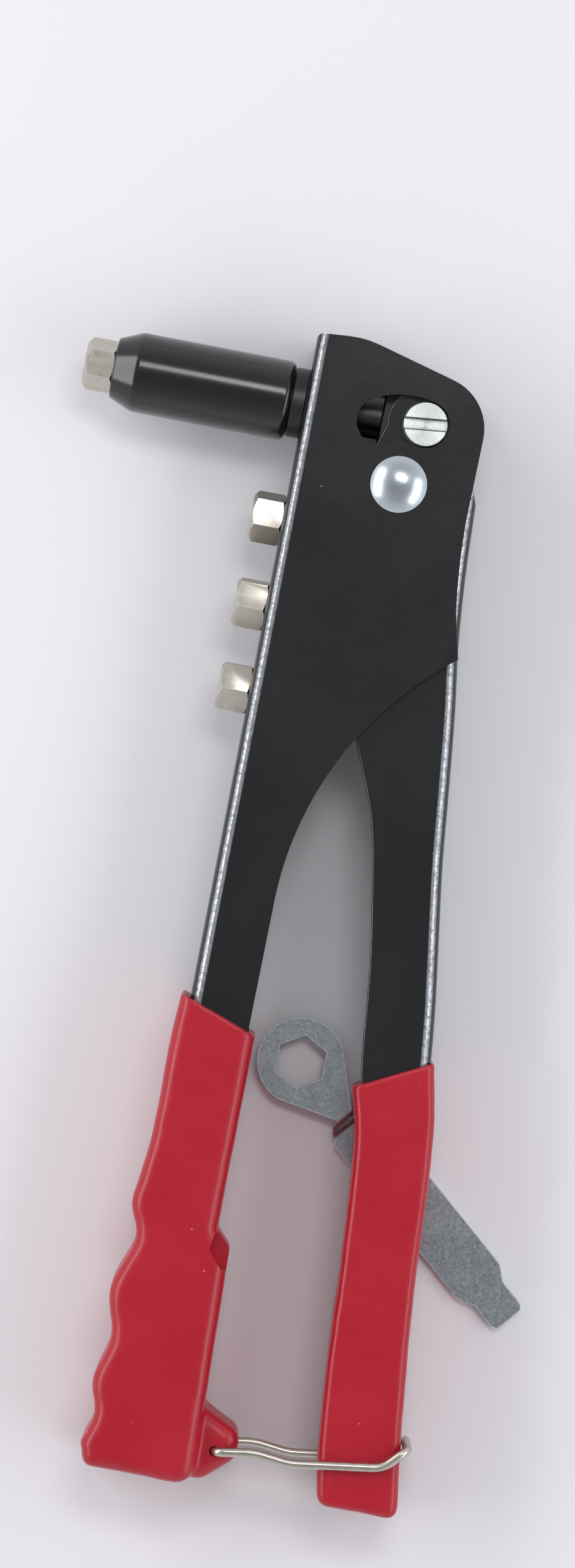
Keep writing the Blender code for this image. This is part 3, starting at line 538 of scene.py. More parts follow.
inside_half = body_half - sheet
channel = blank([(web_x + sheet, past_stem), (far, past_stem), (far, far), (web_x + sheet, far)],
                -inside_half, inside_half)
round_folds(channel, inside_half, fold_radius - sheet + 0.4, lambda co: co.x < 0, 4)
carve(body_piece, to_object("channel", channel))
carve_outline(body_piece, kidney_outline())
carve(body_piece, drill(rivet_hole, (0, 0, 0)))
carve(body_piece, drill(bush_hole, (web_x, nose_y, 0), "X", 8.0))
for y in spare_y:
    carve(body_piece, drill(spare_hole, (web_x, y, 0), "X", 8.0))
break_edges(body_piece, sheet_edge)
finished(body_piece, "body", black_paint, "frame", ["body_frame"])


# ---------------------------------------------------------------- body grip
# The stem is dipped in red PVC, which leaves a soft skin with finger ridges on the front, a
# recessed step on the back, and a lug that the bail turns in.
body_grip_half = 13.0
lug_half = 9.3
bail_pivot = (0.5, -212.2)
wire_radius = 1.0


def soft_slab(outline, half, edge_radius, front_point, rear_point):
    """A slab with rounded rims, cut square over the line from front_point to rear_point."""
    shape = blank(outline, -half, half)
    rims = [edge for edge in shape.edges if abs(edge.verts[0].co.z - edge.verts[1].co.z) < 0.001]
    bmesh.ops.bevel(shape, geom=rims, offset=edge_radius, affect="EDGES", segments=6,
                    profile=0.5, material=-1)
    along = Vector(rear_point) - Vector(front_point)
    cut = bmesh.ops.bisect_plane(shape, geom=shape.verts[:] + shape.edges[:] + shape.faces[:],
                                 plane_co=(*front_point, 0), plane_no=(-along.y, along.x, 0),
                                 clear_outer=True)["geom_cut"]
    bmesh.ops.holes_fill(shape, edges=[e for e in cut if isinstance(e, bmesh.types.BMEdge)])
    return shape


def melt(piece, grain, rounds):
    """Gives a piece the even, slightly wavy skin of a dipped coat."""
    remesh = piece.modifiers.new("skin", "REMESH")
    remesh.mode = "VOXEL"
    remesh.voxel_size = grain
    smooth = piece.modifiers.new("soften", "SMOOTH")
    smooth.factor = 0.5
    smooth.iterations = rounds
    runs = bpy.data.textures.new("dip_runs", "CLOUDS")
    runs.noise_scale = 11.0
    waves = piece.modifiers.new("waves", "DISPLACE")
    waves.texture = runs
    waves.texture_coords = "LOCAL"
    waves.strength = 0.35
    waves.mid_level = 0.5
    apply_modifiers(piece)


def make_red_pvc():
    """Dipped PVC: a deep red skin with slow waves, faint scuffs and a duller bloom in places."""
    material, tree, shader = start_material("red_pvc", (0.40, 0.004, 0.016), 0.35, 0.0)
    bloom = object_noise(tree, 55.0, 5.0, 0.6)
    scuffs = object_noise(tree, 230.0, 6.0, 0.7, (1.0, 0.2, 1.0))
    specks = grouped(tree, speck_group, Scale=230.0, Size=0.05, Share=0.22)
    deep = mix_colors(tree, bloom, (0.35, 0.003, 0.014), (0.44, 0.006, 0.022))
    marked = add_node(tree, "ShaderNodeMapRange", sockets={"From Min": 0.64, "From Max": 0.8,
                                                          "To Max": 0.35})
    tree.links.new(scuffs, marked.inputs["Value"])
    scuffed = mix_colors(tree, marked.outputs["Result"], deep, (0.55, 0.07, 0.09))
    finish_color = mix_colors(tree, specks.outputs["Mask"], scuffed, (0.6, 0.25, 0.26))
    tree.links.new(finish_color, shader.inputs["Base Color"])
    tree.links.new(mapped(tree, bloom, 0.24, 0.42), shader.inputs["Roughness"])
    skin = grouped(tree, skin_group, Wave_Scale=150.0, Peel_Scale=1300.0, Peel_Share=0.15)
    add_bump(tree, shader, skin.outputs["Height"], 0.2, 0.0006)
    return material


red_pvc = make_red_pvc()
grip_top_front, grip_top_rear = (-25.3, -116.2), (-7.9, -122.6)
ridges = smooth_line([(-25.0, -104.0), grip_top_front, (-25.7, -130.0), (-25.6, -146.0),
                      (-26.6, -157.0), (-27.1, -163.0), (-24.9, -170.2), (-28.3, -181.5),
                      (-26.1, -191.9), (-28.2, -201.5), (-26.5, -208.9), (-28.3, -215.5)])
heel = rounded([(-27.6, -220.3, 2.5), (-3.0, -220.3, 4.0), (-4.6, -168.8, 1.6),
                (-8.0, -165.2, 1.2), (-7.9, -104.0), (-25.0, -104.0)])
body_grip = to_object("body_grip", soft_slab(ridges + heel[:-1], body_grip_half, 3.0,
                                             grip_top_front, grip_top_rear))
lug = to_object("lug", blank(rounded([(-12.0, -200.5), (-3.5, -203.2, 4.0), (5.2, -207.6, 3.6),
                                      (5.0, -213.2, 3.6), (-1.2, -218.9, 3.6), (-12.0, -219.2)]),
                             -lug_half, lug_half))
break_edges(lug, 3.2, 6)
carve(body_grip, lug, "UNION")
step_recess = [(-7.0, -164.6), (-8.5, -166.4), (-8.9, -169.6), (-5.6, -173.4), (0.0, -173.4),
               (0.0, -160.0)]
melt(body_grip, 0.5, 5)
for low, high in ((6.0, 14.0), (-14.0, -6.0)):
    carve(body_grip, to_object("step_recess", blank(step_recess, low, high)))
carve_outline(body_grip, [(web_x, stem_end_y), (stem_rear_x - 0.4, stem_end_y),
                          (stem_rear_x, fork_y - 1.0), (web_x, fork_y - 1.0)], body_half)
carve(body_grip, drill(wire_radius + 0.15, (*bail_pivot, 0)))
finished(body_grip, "body_grip", red_pvc, "frame", ["body_grip"], 50.0)


# ---------------------------------------------------------------- lever
# The lever is a second pressed channel, folded the other way, so that it nests in the body
# with its web to the rear. It turns on the rivet and carries the drive pin in its head.
lever_half = 7.8
lever_fold_radius = 2.6
lever_head_radius = 8.2
lever_end_y = -206.0
pin_radius = 4.75
pin_center = pin_position(pin_rest_angle)

lever_rear = smooth_line([(17.3, -1.2), (18.0, -16.0), (19.3, -31.0), (21.4, -46.0),
                          (23.2, -62.0), (25.0, -79.0), (27.4, -96.0), (29.6, -112.0),
                          (31.4, -130.0), (33.2, -150.0), (34.3, -170.0), (36.0, -188.0),
                          (38.0, lever_end_y)], 4)
lever_front = smooth_line([(23.9, lever_end_y), (22.4, -188.0), (21.4, -169.0), (20.2, -154.0),
                           (18.6, -140.0), (15.9, -124.0), (13.8, -104.0), (11.4, -89.0),
                           (8.0, -72.2), (1.9, -56.6), (-4.4, -40.0), (-8.0, -18.0),
                           (-8.6, 0.0)], 4)
on_rear = {(round(x, 3), round(y, 3)) for x, y in lever_rear}
lever_slab = blank(lever_rear + lever_front + arc(pin_center, lever_head_radius, 190.0, 0.0),
                   -lever_half, lever_half)
round_folds(lever_slab, lever_half, lever_fold_radius,
            lambda co: (round(co.x, 3), round(co.y, 3)) in on_rear)
lever_piece = to_object("lever", lever_slab)
inside_rear = [(x - sheet, y) for x, y in lever_rear]
hollow = ([(inside_rear[0][0], far)] + inside_rear
          + [(inside_rear[-1][0], lever_end_y - far), (-far, lever_end_y - far), (-far, far)])
carve_outline(lever_piece, hollow, lever_half - sheet)
carve(lever_piece, drill(rivet_hole, (0, 0, 0)))
carve(lever_piece, drill(pin_radius + 0.1, (*pin_center, 0)))
break_edges(lever_piece, sheet_edge)
finished(lever_piece, "lever", black_paint, "lever", ["lever_channel"])


# ---------------------------------------------------------------- lever grip
# The lever's stem is dipped in the same red PVC, as a plain sleeve with a slanting top edge
# and a squared lower end.
lever_grip_half = 9.2
sleeve_top_rear, sleeve_top_front = (31.2, -121.1), (14.9, -129.4)
sleeve_rear = smooth_line([(29.2, -109.0), sleeve_top_rear, (33.6, -133.0), (35.1, -147.6),
                           (35.8, -162.2), (36.8, -176.5), (38.1, -190.0), (39.8, -204.3),
                           (41.4, -216.0)], 3)
sleeve_front = smooth_line([(23.3, -214.0), (22.2, -205.0), (20.7, -187.9), (19.8, -169.2),
                            (18.7, -153.3), (17.2, -139.0), sleeve_top_front, (12.6, -118.0)], 3)
sleeve_heel = rounded([sleeve_rear[-1], (41.8, -219.6, 2.2), (24.3, -219.6, 2.6),
                       sleeve_front[0]])
lever_grip = to_object("lever_grip", soft_slab(sleeve_rear + sleeve_heel[1:-1] + sleeve_front,
                                               lever_grip_half, 2.0, sleeve_top_front,
                                               sleeve_top_rear))
melt(lever_grip, 0.45, 4)
carve_outline(lever_grip, lever_rear + lever_front, lever_half)
finished(lever_grip, "lever_grip", red_pvc, "lever", ["lever_grip"], 50.0)


# ---------------------------------------------------------------- pivot rivet
# A solid rivet holds both channels together. Its domed head is set from above, its tail is
# peened over a washer below, and a bush keeps the lever's sides apart on its shank.
rivet_head_radius = 6.1
rivet_seat = body_half
rivet_top = 13.0
washer_thick = 1.1


def turned(name, corners, axis="Z", origin=(0.0, 0.0, 0.0), steps=96):
    """Spins a line of (radius, station) corners full round an axis through origin. A line
    that doesn't start and end on the axis is closed first."""
    shape = bmesh.new()
    along_x = axis == "X"
    line = [shape.verts.new((s, r, 0) if along_x else (r, 0, s)) for r, s in corners]
    pairs = list(zip(line, line[1:]))
    if max(corners[0][0], corners[-1][0]) > 0.001:
        pairs.append((line[-1], line[0]))
    edges = [shape.edges.new(pair) for pair in pairs]
    bmesh.ops.spin(shape, geom=line + edges, cent=(0, 0, 0), dvec=(0, 0, 0),
                   axis=(1, 0, 0) if along_x else (0, 0, 1), angle=math.tau, steps=steps,
                   use_merge=True, use_duplicate=False)
    bmesh.ops.remove_doubles(shape, verts=shape.verts, dist=0.001)
    bmesh.ops.translate(shape, verts=shape.verts, vec=origin)
    return to_object(name, shape)


def make_plated(name, bright, dark, rough, fog_scale, scratch, relief=0.12):
    """Plated steel: cloudy tone between bright and dark, fine pits and scratches in relief."""
    material, tree, shader = start_material(name, bright, rough, 1.0)
    clouds = object_noise(tree, fog_scale, 5.0, 0.65)
    pits = object_noise(tree, 3200.0, 2.0, 0.5)
    scratches = object_noise(tree, 1300.0, 3.0, 0.7, (0.06, 1.0, 1.0))
    edge_mask = grouped(tree, edge_group, Breakup_Scale=1200.0, Threshold=0.35)
    tone = mix_colors(tree, clouds, dark, bright)
    edges = mix_colors(tree, edge_mask.outputs["Mask"], tone, tuple(min(1.0, c * 1.2) for c in bright))
    tree.links.new(edges, shader.inputs["Base Color"])
    tree.links.new(mapped(tree, clouds, rough * 0.75, rough * 1.3), shader.inputs["Roughness"])
    height = add_node(tree, "ShaderNodeMath", operation="MULTIPLY_ADD", sockets={1: scratch})
    tree.links.new(scratches, height.inputs[0])
    tree.links.new(pits, height.inputs[2])
    add_bump(tree, shader, height.outputs["Value"], relief, 0.0002)
    return material


bright_zinc = make_plated("bright_zinc", (0.66, 0.71, 0.75), (0.42, 0.47, 0.52), 0.26, 340.0, 0.5,
                          relief=0.03)
dome_height = rivet_top - rivet_seat - 0.5
dome_radius = (rivet_head_radius ** 2 + dome_height ** 2) / (2 * dome_height)
dome_edge = math.degrees(math.asin(rivet_head_radius / dome_radius))
tail_top = -body_half - washer_thick
rivet_line = arc((0.0, rivet_top - dome_radius), dome_radius, 90.0, 90.0 - dome_edge)
rivet_line += [(rivet_head_radius, rivet_seat + 0.35), (rivet_head_radius - 0.25, rivet_seat),
               (rivet_radius, rivet_seat), (rivet_radius, tail_top), (5.2, tail_top),
               (5.4, tail_top - 0.3), (5.3, tail_top - 0.9), (4.6, tail_top - 1.4),
               (3.0, tail_top - 1.65), (1.4, -12.9), (0.0, -12.92)]
rivet = turned("rivet", rivet_line)
finished(rivet, "main_rivet", bright_zinc, "frame", ["main_rivet"], 40.0)

washer = turned("washer", rounded([(rivet_radius + 0.1, tail_top, 0.1), (6.4, tail_top, 0.3),
                                   (6.4, -body_half, 0.3), (rivet_radius + 0.1, -body_half, 0.1)]))
finished(washer, "rivet_washer", bright_zinc, "frame", ["rivet_washer"])

dark_steel = make_plated("dark_steel", (0.075, 0.075, 0.08), (0.03, 0.03, 0.032), 0.38, 300.0, 0.8)
bush_half = lever_half - sheet
bush = turned("bush", rounded([(rivet_radius + 0.15, -bush_half, 0.2), (5.2, -bush_half, 0.3),
                               (5.2, bush_half, 0.3), (rivet_radius + 0.15, bush_half, 0.2)]))
finished(bush, "pivot_bush", dark_steel, "frame", ["pivot_bush"])


# ---------------------------------------------------------------- drive pin
# The lever drives the jaws through a loose pin that sweeps along the kidney slot. It is a
# turned sleeve closed by a slotted screw, whose face still shows the lathe's rings.
pin_half = 10.7
pin_parting = 7.5
screw_hole, screw_shank = 2.75, 2.4
slot_width, slot_depth, slot_angle = 2.4, 1.3, 6.0


def make_turned_zinc():
    """Zinc over a lathe-cut face: concentric rings about the pin's axis, a grainy sheen, and
    painted shade in thin dark lines along the walls of the screw's slot.
    """
    material, tree, shader = start_material("turned_zinc", (0.82, 0.84, 0.82), 0.42, 1.0)
    axis = into_frame @ Vector((*pin_center, 0.0))
    place = add_node(tree, "ShaderNodeTexCoord")
    centered = add_node(tree, "ShaderNodeMapping", sockets={"Location": (-axis.x, -axis.y, 0.0),
                                                            "Scale": (1.0, 1.0, 0.0)})
    rings = add_node(tree, "ShaderNodeTexWave", wave_type="RINGS", rings_direction="SPHERICAL",
                     sockets={"Scale": 1050.0, "Distortion": 2.0, "Detail": 4.0,
                              "Detail Scale": 3.0, "Detail Roughness": 0.7})
    grain = object_noise(tree, 1900.0, 4.0, 0.7)
    clouds = object_noise(tree, 500.0, 3.0, 0.6)
    across = add_node(tree, "ShaderNodeMapping", vector_type="TEXTURE",
                      sockets={"Location": axis,
                               "Rotation": (0.0, 0.0, math.radians(slot_angle))})
    split = add_node(tree, "ShaderNodeSeparateXYZ")
    off_middle = add_node(tree, "ShaderNodeMath", operation="ABSOLUTE")
    off_wall = add_node(tree, "ShaderNodeMath", operation="SUBTRACT",
                        sockets={1: slot_width / 2000})
    beside = add_node(tree, "ShaderNodeMath", operation="ABSOLUTE")
    # Painted shade: a thin dark band along each wall of the screw's slot.
    slot_wall_shade = add_node(tree, "ShaderNodeMapRange", sockets={"From Min": 0.00024,
                                                         "From Max": 0.0001, "To Max": 0.95})
    join(place, "Object", across, "Vector")
    join(across, "Vector", split, "Vector")
    join(split, "Y", off_middle, 0)
    join(off_middle, "Value", off_wall, 0)
    join(off_wall, "Value", beside, 0)
    join(beside, "Value", slot_wall_shade, "Value")
    join(place, "Object", centered, "Vector")
    join(centered, "Vector", rings, "Vector")
    tone = mix_colors(tree, clouds, (0.66, 0.70, 0.69), (0.92, 0.94, 0.92))
    ringed = mix_colors(tree, mapped(tree, rings.outputs["Fac"], 0.0, 0.28), tone,
                        (0.48, 0.51, 0.51))
    edges_with_painted_light = mix_colors(tree, slot_wall_shade.outputs["Result"], ringed, (0.08, 0.085, 0.085))
    tree.links.new(edges_with_painted_light, shader.inputs["Base Color"])
    tree.links.new(mapped(tree, grain, 0.3, 0.62), shader.inputs["Roughness"])
    height = add_node(tree, "ShaderNodeMath", operation="MULTIPLY_ADD", sockets={1: 0.7})
    join(rings, "Fac", height, 0)
    tree.links.new(grain, height.inputs[2])
    add_bump(tree, shader, height.outputs["Value"], 0.4, 0.00025)
    return material


turned_zinc = make_turned_zinc()
sleeve = turned("sleeve", rounded([(0.0, -pin_half), (pin_radius, -pin_half, 0.5),
                                   (pin_radius, pin_parting - 0.1, 0.1),
                                   (screw_hole, pin_parting - 0.1), (screw_hole, -3.0),
                                   (0.0, -3.0)]),
                origin=(*pin_center, 0))
finished(sleeve, "drive_pin_sleeve", turned_zinc, "lever", ["drive_pin_sleeve"])


def milling(size, turn, axis, center):
    """A box cutter of this size, turned by turn degrees about an axis."""
    shape = bmesh.new()
    bmesh.ops.create_cube(shape, size=1.0)
    bmesh.ops.scale(shape, verts=shape.verts, vec=size)
    bmesh.ops.rotate(shape, verts=shape.verts,
                     matrix=Matrix.Rotation(math.radians(turn), 3, axis))
    bmesh.ops.translate(shape, verts=shape.verts, vec=center)
    return to_object("milling", shape)


screw = turned("screw", rounded([(0.0, -2.0), (screw_shank, -2.0, 0.4), (screw_shank, pin_parting),
                                 (pin_radius, pin_parting, 0.1), (pin_radius, pin_half, 0.35),
                                 (0.0, pin_half)]), origin=(*pin_center, 0))
carve(screw, milling((3 * pin_radius, slot_width, 2 * slot_depth), slot_angle, "Z",
                     (*pin_center, pin_half)))
break_edges(screw, 0.1, 2, 50.0)
finished(screw, "drive_pin_screw", turned_zinc, "lever", ["drive_pin_screw"])


# ---------------------------------------------------------------- barrel
# The barrel is a turned steel tube, blacked like the body. It screws onto a threaded bush,
# which a round notched nut clamps in the web, and its nose tapers to the nosepiece.
barrel_front_x, cone_x, barrel_rear_x = -65.3, -60.2, -26.3
barrel_radius, barrel_bore, barrel_face = 8.7, 6.7, 6.5
bore_end_x = -61.4
nose_thread = 3.9
neck_front_x, bush_rear_x = -33.4, -16.6
neck_radius = 7.6
rod_radius = 4.6

barrel_black = make_black_paint("barrel_black", 0.26, 0.16, 0.05, paint_fold_highlight=False)
nose_axis = (0.0, nose_y, 0.0)
barrel = turned("barrel", rounded([(barrel_bore, barrel_rear_x, 0.4),
                                   (barrel_radius, barrel_rear_x, 1.6),
                                   (barrel_radius, cone_x, 2.5),
                                   (barrel_face, barrel_front_x, 0.6),
                                   (nose_thread + 0.2, barrel_front_x, 0.2),
                                   (nose_thread + 0.2, bore_end_x), (barrel_bore, bore_end_x)],
                                  6.0),
                "X", nose_axis, 128)
finished(barrel, "barrel", barrel_black, "frame", ["barrel"], 45.0)

thread_radius = barrel_bore - 0.2
neck = turned("neck", rounded([(rod_radius + 0.3, bush_rear_x, 0.3),
                               (thread_radius, bush_rear_x, 0.5), (thread_radius, web_x),
                               (neck_radius, web_x, 0.2),
                               (neck_radius, barrel_rear_x + 0.1, 0.4),
                               (thread_radius, barrel_rear_x + 0.1),
                               (thread_radius, neck_front_x, 0.5),
                               (rod_radius + 0.3, neck_front_x, 0.3)]), "X", nose_axis)
finished(neck, "barrel_bush", dark_steel, "frame", ["barrel_bush"], 45.0)

nut_front, nut_back, nut_radius = web_x + sheet, -17.2, 7.9
nut = turned("nut", rounded([(thread_radius, nut_back, 0.3), (nut_radius, nut_back, 0.6),
                             (nut_radius, nut_front, 0.2), (thread_radius, nut_front)]),
             "X", nose_axis)
for turn in (45.0, 135.0):
    carve(nut, milling((3.0, 20.0, 2.4), turn, "X", (nut_back, nose_y, 0)))
break_edges(nut, 0.15, 2, 50.0)
finished(nut, "barrel_nut", dark_steel, "frame", ["barrel_nut"], 45.0)


# ---------------------------------------------------------------- pull rod
# The rod is forged with a flat eye, which the drive pin pulls on, and a round shank that
# screws into the jaw case inside the barrel. The eye's hole is long enough for the pin's rise.
eye_front, eye_half_height, eye_half_width = -6.4, 8.3, 5.4
rod_front_x, rod_bore_end_x, rod_bore = -37.6, -22.7, 3.2
rod = turned("rod", rounded([(0.0, eye_front + 2), (rod_radius, eye_front + 2),
                             (rod_radius, rod_front_x, 0.4), (rod_bore, rod_front_x, 0.2),
                             (rod_bore, rod_bore_end_x), (0.0, rod_bore_end_x)]), "X", nose_axis)
eye = rounded([(eye_front, 5.5, 2.0), (eye_front, -5.5, 2.0), (-3.5, -eye_half_height, 1.5),
               (pin_center[0] + eye_half_height, -eye_half_height, 6.0),
               (pin_center[0] + eye_half_height, eye_half_height, 6.0),
               (-3.5, eye_half_height, 1.5)])
eye_block = to_object("eye", blank([(x, y + nose_y) for x, y in eye],
                                   -eye_half_width, eye_half_width))
break_edges(eye_block, 0.6, 3)
carve(rod, eye_block, "UNION")
pin_play = pin_radius + 0.35
pin_slot = (arc((pin_center[0], nose_y - 1.3), pin_play, 180.0, 360.0)
            + arc((pin_center[0], nose_y + 0.6), pin_play, 0.0, 180.0))
carve_outline(rod, pin_slot)
finished(rod, "pull_rod", dark_steel, "puller", ["pull_rod"], 40.0)


# ---------------------------------------------------------------- jaw train
# Inside the barrel a cased pair of toothed jaws, a pusher and its spring grip the rivet's
# mandrel. These turned parts stay as built, in oiled bright steel.
oiled_steel = make_plated("oiled_steel", (0.42, 0.41, 0.40), (0.24, 0.235, 0.23), 0.3, 220.0, 1.0)
for part in ("jaw_case", "jaw_upper", "jaw_lower", "jaw_pusher", "jaw_spring"):
    node = frame["nodes"][part]
    node.data.materials.clear()
    node.data.materials.append(oiled_steel)


# ---------------------------------------------------------------- nosepieces
# Four nickel-plated steel nosepieces, each a 10 mm hexagon with a bore for one rivet size.
# One is screwed into the barrel and three are stored in the body's web.
across_flats = 10.0
bores = {"nosepiece_fitted": 1.8, "nosepiece_spare_1": 1.25, "nosepiece_spare_2": 1.6,
         "nosepiece_spare_3": 2.1}
spare_turns = (10.0, 20.0, 25.0)

warm_nickel = make_plated("warm_nickel", (0.66, 0.62, 0.55), (0.42, 0.39, 0.34), 0.3, 420.0, 0.5,
                          relief=0.03)


def hexagon_bar(flats, length):
    """A bmesh of a hexagonal bar along Z, with a corner on X."""
    corner = flats / math.sqrt(3)
    shape = bmesh.new()
    bmesh.ops.create_cone(shape, cap_ends=True, segments=6, radius1=corner, radius2=corner,
                          depth=length)
    return shape


def make_nosepiece(name, length, stub, turn, seat):
    """A chamfered hexagon of this length in front of seat, with a threaded stub behind it."""
    corner = across_flats / math.sqrt(3)
    x, tip = seat[0], seat[0] - length
    hexagon = hexagon_bar(across_flats, length)
    lay_down = Matrix.Rotation(math.radians(turn), 3, "X") @ Matrix.Rotation(math.pi / 2, 3, "Y")
    bmesh.ops.rotate(hexagon, verts=hexagon.verts, matrix=lay_down)
    bmesh.ops.translate(hexagon, verts=hexagon.verts, vec=((x + tip) / 2, *seat[1:]))
    head = to_object(name, hexagon)
    limit = [(0.0, x + 0.01), (corner - 0.75, x + 0.01), (corner + 0.1, x - 0.5),
             (corner + 0.1, tip + 1.1), (corner - 1.25, tip - 0.01), (0.0, tip - 0.01)]
    carve(head, turned("limit", limit, "X", (0, *seat[1:])), "INTERSECT")
    pitch, depth = 0.8, 0.35
    crests = [(nose_thread - depth * (k % 2), x + 0.9 + pitch / 2 * k)
              for k in range(int(2 * (stub - 1.6) / pitch))]
    end = crests[-1][1] + 0.6
    line = [(0.0, x - 0.3), (nose_thread - depth, x - 0.3)] + crests
    line += [(nose_thread - 0.8, end), (0.0, end)]
    carve(head, turned("stub", line, "X", (0, *seat[1:]), 48), "UNION")
    bore = bores[name]
    funnel = [(0.0, tip - 1.0), (bore + 0.9, tip - 1.0), (bore + 0.5, tip - 0.01),
              (bore, tip + 0.5), (bore, end + 1.0), (0.0, end + 1.0)]
    carve(head, turned("bore", funnel, "X", (0, *seat[1:]), 48))
    break_edges(head, 0.12, 2, 25.0)
    finished(head, name, warm_nickel, "frame", [name], 30.0)


make_nosepiece("nosepiece_fitted", 6.4, 5.0, 0.0, (barrel_front_x, nose_y, 0))
for number, (y, turn) in enumerate(zip(spare_y, spare_turns), 1):
    make_nosepiece(f"nosepiece_spare_{number}", 6.9, 6.0, -turn, (web_x, y, 0))


# ---------------------------------------------------------------- bail
# A nickel-plated spring wire turns in the grip's lug and hooks round the lever's grip, to
# keep the handles shut. It is one wire bent to a long U, with a jog in each arm.
arm_z = 10.6
crossbar = (41.2 - bail_pivot[0], -204.0 - bail_pivot[1])


def bent(corners, radius, steps=8):
    """A 3D line with each inner corner rounded."""
    corners = [Vector(corner) for corner in corners]
    points = [corners[0]]
    for before, here, after in zip(corners, corners[1:], corners[2:]):
        reach = min(radius, (before - here).length * 0.45, (after - here).length * 0.45)
        start = here + (before - here).normalized() * reach
        end = here + (after - here).normalized() * reach
        for k in range(steps + 1):
            t = k / steps
            points.append(start * (1 - t) ** 2 + here * 2 * t * (1 - t) + end * t ** 2)
    points.append(corners[-1])
    return points


def drawn_wire(points, radius, sides=24):
    """A bmesh of a round wire along 3D points: a circle extruded from point to point."""
    shape = bmesh.new()
    ahead = [(b - a).normalized() for a, b in zip(points, points[1:])]
    tangents = [ahead[0]] + [(a + b).normalized() for a, b in zip(ahead, ahead[1:])] + [ahead[-1]]
    facing = Vector((0, 0, 1)).rotation_difference(tangents[0]).to_matrix().to_4x4()
    bmesh.ops.create_circle(shape, cap_ends=True, segments=sides, radius=radius,
                            matrix=Matrix.Translation(points[0]) @ facing)
    edges = shape.edges[:]
    for here, there, before, after in zip(points, points[1:], tangents, tangents[1:]):
        grown = bmesh.ops.extrude_edge_only(shape, edges=edges)["geom"]
        ring = {item for item in grown if isinstance(item, bmesh.types.BMVert)}
        edges = [item for item in grown if isinstance(item, bmesh.types.BMEdge)
                 and all(vert in ring for vert in item.verts)]
        bmesh.ops.rotate(shape, verts=list(ring), cent=here,
                         matrix=before.rotation_difference(after).to_matrix())
        bmesh.ops.translate(shape, verts=list(ring), vec=there - here)
    bmesh.ops.contextual_create(shape, geom=edges)
    return shape


arm = [(0, 0, 5.5), (0, 0, arm_z), (8.4, 1.4, arm_z), (16.3, 0.5, arm_z),
       (crossbar[0] - 4.5, crossbar[1] - 4.8, arm_z), (*crossbar, arm_z)]
other_arm = [(x, y, -z) for x, y, z in reversed(arm)]
wire = drawn_wire(bent(arm + other_arm, 2.2), wire_radius)
bmesh.ops.translate(wire, verts=wire.verts, vec=(*bail_pivot, 0))
bail = to_object("bail", wire)
break_edges(bail, 0.25, 2, 60.0)
finished(bail, "bail_wire", warm_nickel, "bail", ["bail_wire"], 60.0)


# ---------------------------------------------------------------- spanner
# A stamped zinc-plated spanner lies under the handles: a teardrop ring with a hexagon for the
# nosepieces, a cranked neck, and a flat blade that ends in a narrow tip.
ring_center = (3.1, -127.0)
ring_radius = 9.6
spanner_angle = -40.3
spanner_thick, crank_height = 2.0, 1.5
taper_angle = 71.0
crank_start, crank_end, crank_cuts = 15.2, 18.0, 8
neck_half, blade_half, tip_half = 4.9, 6.0, 4.0
blade_end, tip_start, spanner_length = 62.0, 65.5, 72.6
hexagon_flats, hexagon_turn = 10.2, -19.3


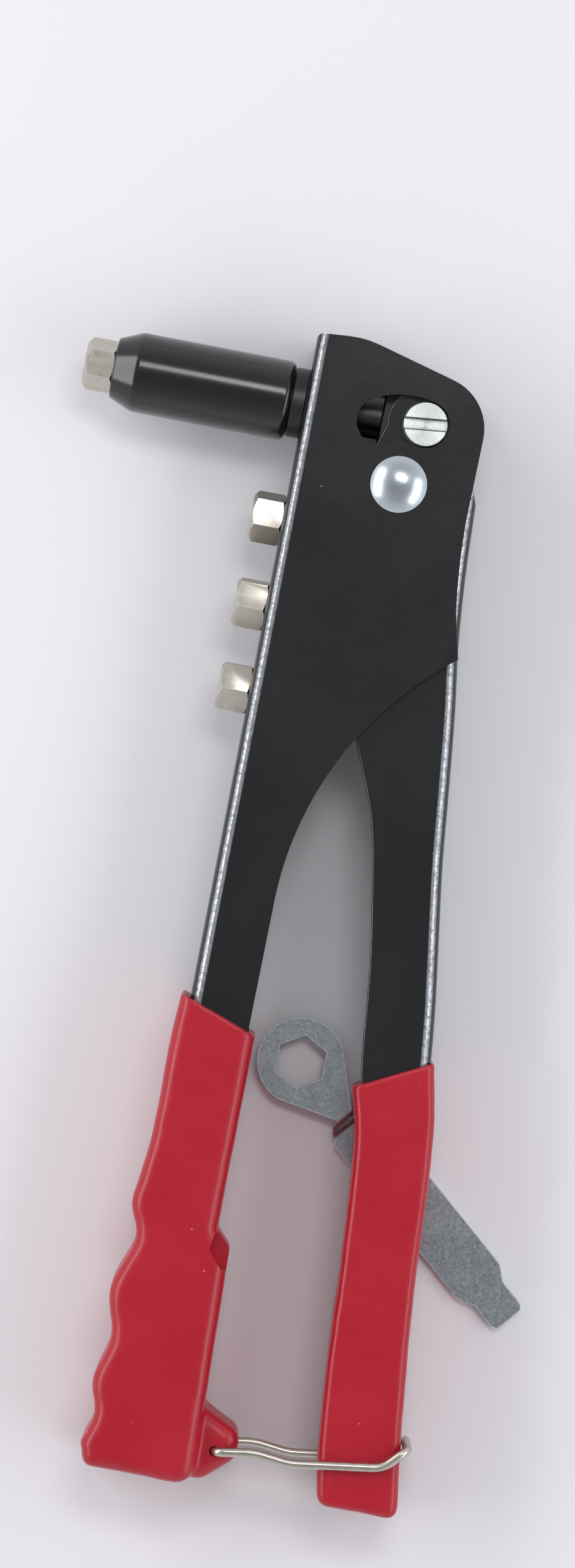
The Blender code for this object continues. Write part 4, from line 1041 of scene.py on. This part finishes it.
def make_spanner_zinc():
    """Zinc over a stamped blank: bluish mottled crystals, dark flecks and long scratches. Its
    rubbed rims are coloured near white as a painted highlight.
    """
    material, tree, shader = start_material("spanner_zinc", (0.46, 0.51, 0.55), 0.36, 1.0)
    clouds = object_noise(tree, 210.0, 6.0, 0.72)
    flecks = object_noise(tree, 1500.0, 3.0, 0.7)
    place = add_node(tree, "ShaderNodeTexCoord")
    crystals = add_node(tree, "ShaderNodeTexVoronoi", feature="F1",
                        sockets={"Scale": 2300.0, "Randomness": 1.0})
    join(place, "Object", crystals, "Vector")
    split = add_node(tree, "ShaderNodeSeparateColor")
    join(crystals, "Color", split, "Color")
    along = add_node(tree, "ShaderNodeMapping",
                     sockets={"Rotation": (0.0, 0.0, math.radians(spanner_angle)),
                              "Scale": (0.08, 1.0, 1.0)})
    join(place, "Object", along, "Vector")
    scratches = add_node(tree, "ShaderNodeTexNoise",
                         sockets={"Scale": 1500.0, "Detail": 3.0, "Roughness": 0.7})
    join(along, "Vector", scratches, "Vector")
    edge_mask = grouped(tree, edge_group, Breakup_Scale=1500.0, Threshold=0.3)
    tone = mix_colors(tree, clouds, (0.24, 0.27, 0.29), (0.58, 0.63, 0.66))
    grains = mix_colors(tree, mapped(tree, split.outputs["Red"], 0.0, 0.16), tone,
                        (0.74, 0.81, 0.86))
    dark = add_node(tree, "ShaderNodeMapRange", sockets={"From Min": 0.62, "From Max": 0.76,
                                                        "To Max": 0.4})
    tree.links.new(flecks, dark.inputs["Value"])
    flecked = mix_colors(tree, dark.outputs["Result"], grains, (0.13, 0.15, 0.17))
    # Rubbed rims coloured near white: partly wear, partly a painted highlight.
    edges_with_painted_light = mix_colors(tree, edge_mask.outputs["Mask"], flecked, (0.95, 0.97, 1.0))
    tree.links.new(edges_with_painted_light, shader.inputs["Base Color"])
    tree.links.new(mapped(tree, split.outputs["Green"], 0.22, 0.38), shader.inputs["Roughness"])
    height = add_node(tree, "ShaderNodeMath", operation="MULTIPLY_ADD", sockets={1: 0.8})
    join(scratches, "Fac", height, 0)
    tree.links.new(flecks, height.inputs[2])
    add_bump(tree, shader, height.outputs["Value"], 0.14, 0.0002)
    return material


spanner_zinc = make_spanner_zinc()
lower_edge = [(crank_start, -neck_half, 3.0), (crank_end, -neck_half, 0.6),
              (crank_end + 0.9, -blade_half, 0.8), (blade_end, -blade_half, 3.0),
              (tip_start, -tip_half, 2.5), (spanner_length, -tip_half, 1.5)]
upper_edge = [(x, -y, radius) for x, y, radius in reversed(lower_edge)]
stamped = blank(arc((0, 0), ring_radius, taper_angle, 360 - taper_angle)
                + rounded(lower_edge + upper_edge), 0.0, spanner_thick)
for step in range(crank_cuts + 1):
    cut_x = crank_start + (crank_end - crank_start) * step / crank_cuts
    bmesh.ops.bisect_plane(stamped, geom=stamped.verts[:] + stamped.edges[:] + stamped.faces[:],
                           plane_co=(cut_x, 0, 0), plane_no=(1, 0, 0))
for vert in stamped.verts:
    down = min(max((vert.co.x - crank_start) / (crank_end - crank_start), 0.0), 1.0)
    vert.co.z += crank_height * (1.0 - down * down * (3.0 - 2.0 * down))
spanner = to_object("spanner", stamped)
socket = hexagon_bar(hexagon_flats, 20.0)
bmesh.ops.rotate(socket, verts=socket.verts,
                 matrix=Matrix.Rotation(math.radians(hexagon_turn), 3, "Z"))
carve(spanner, to_object("socket", socket))
break_edges(spanner, 0.5, 4, 40.0)
spanner.data.transform(Matrix.Translation((*ring_center, -mid_height))
                       @ Matrix.Rotation(math.radians(spanner_angle), 4, "Z"))
finished(spanner, "spanner", spanner_zinc, "loose_spanner", ["spanner"], 40.0)
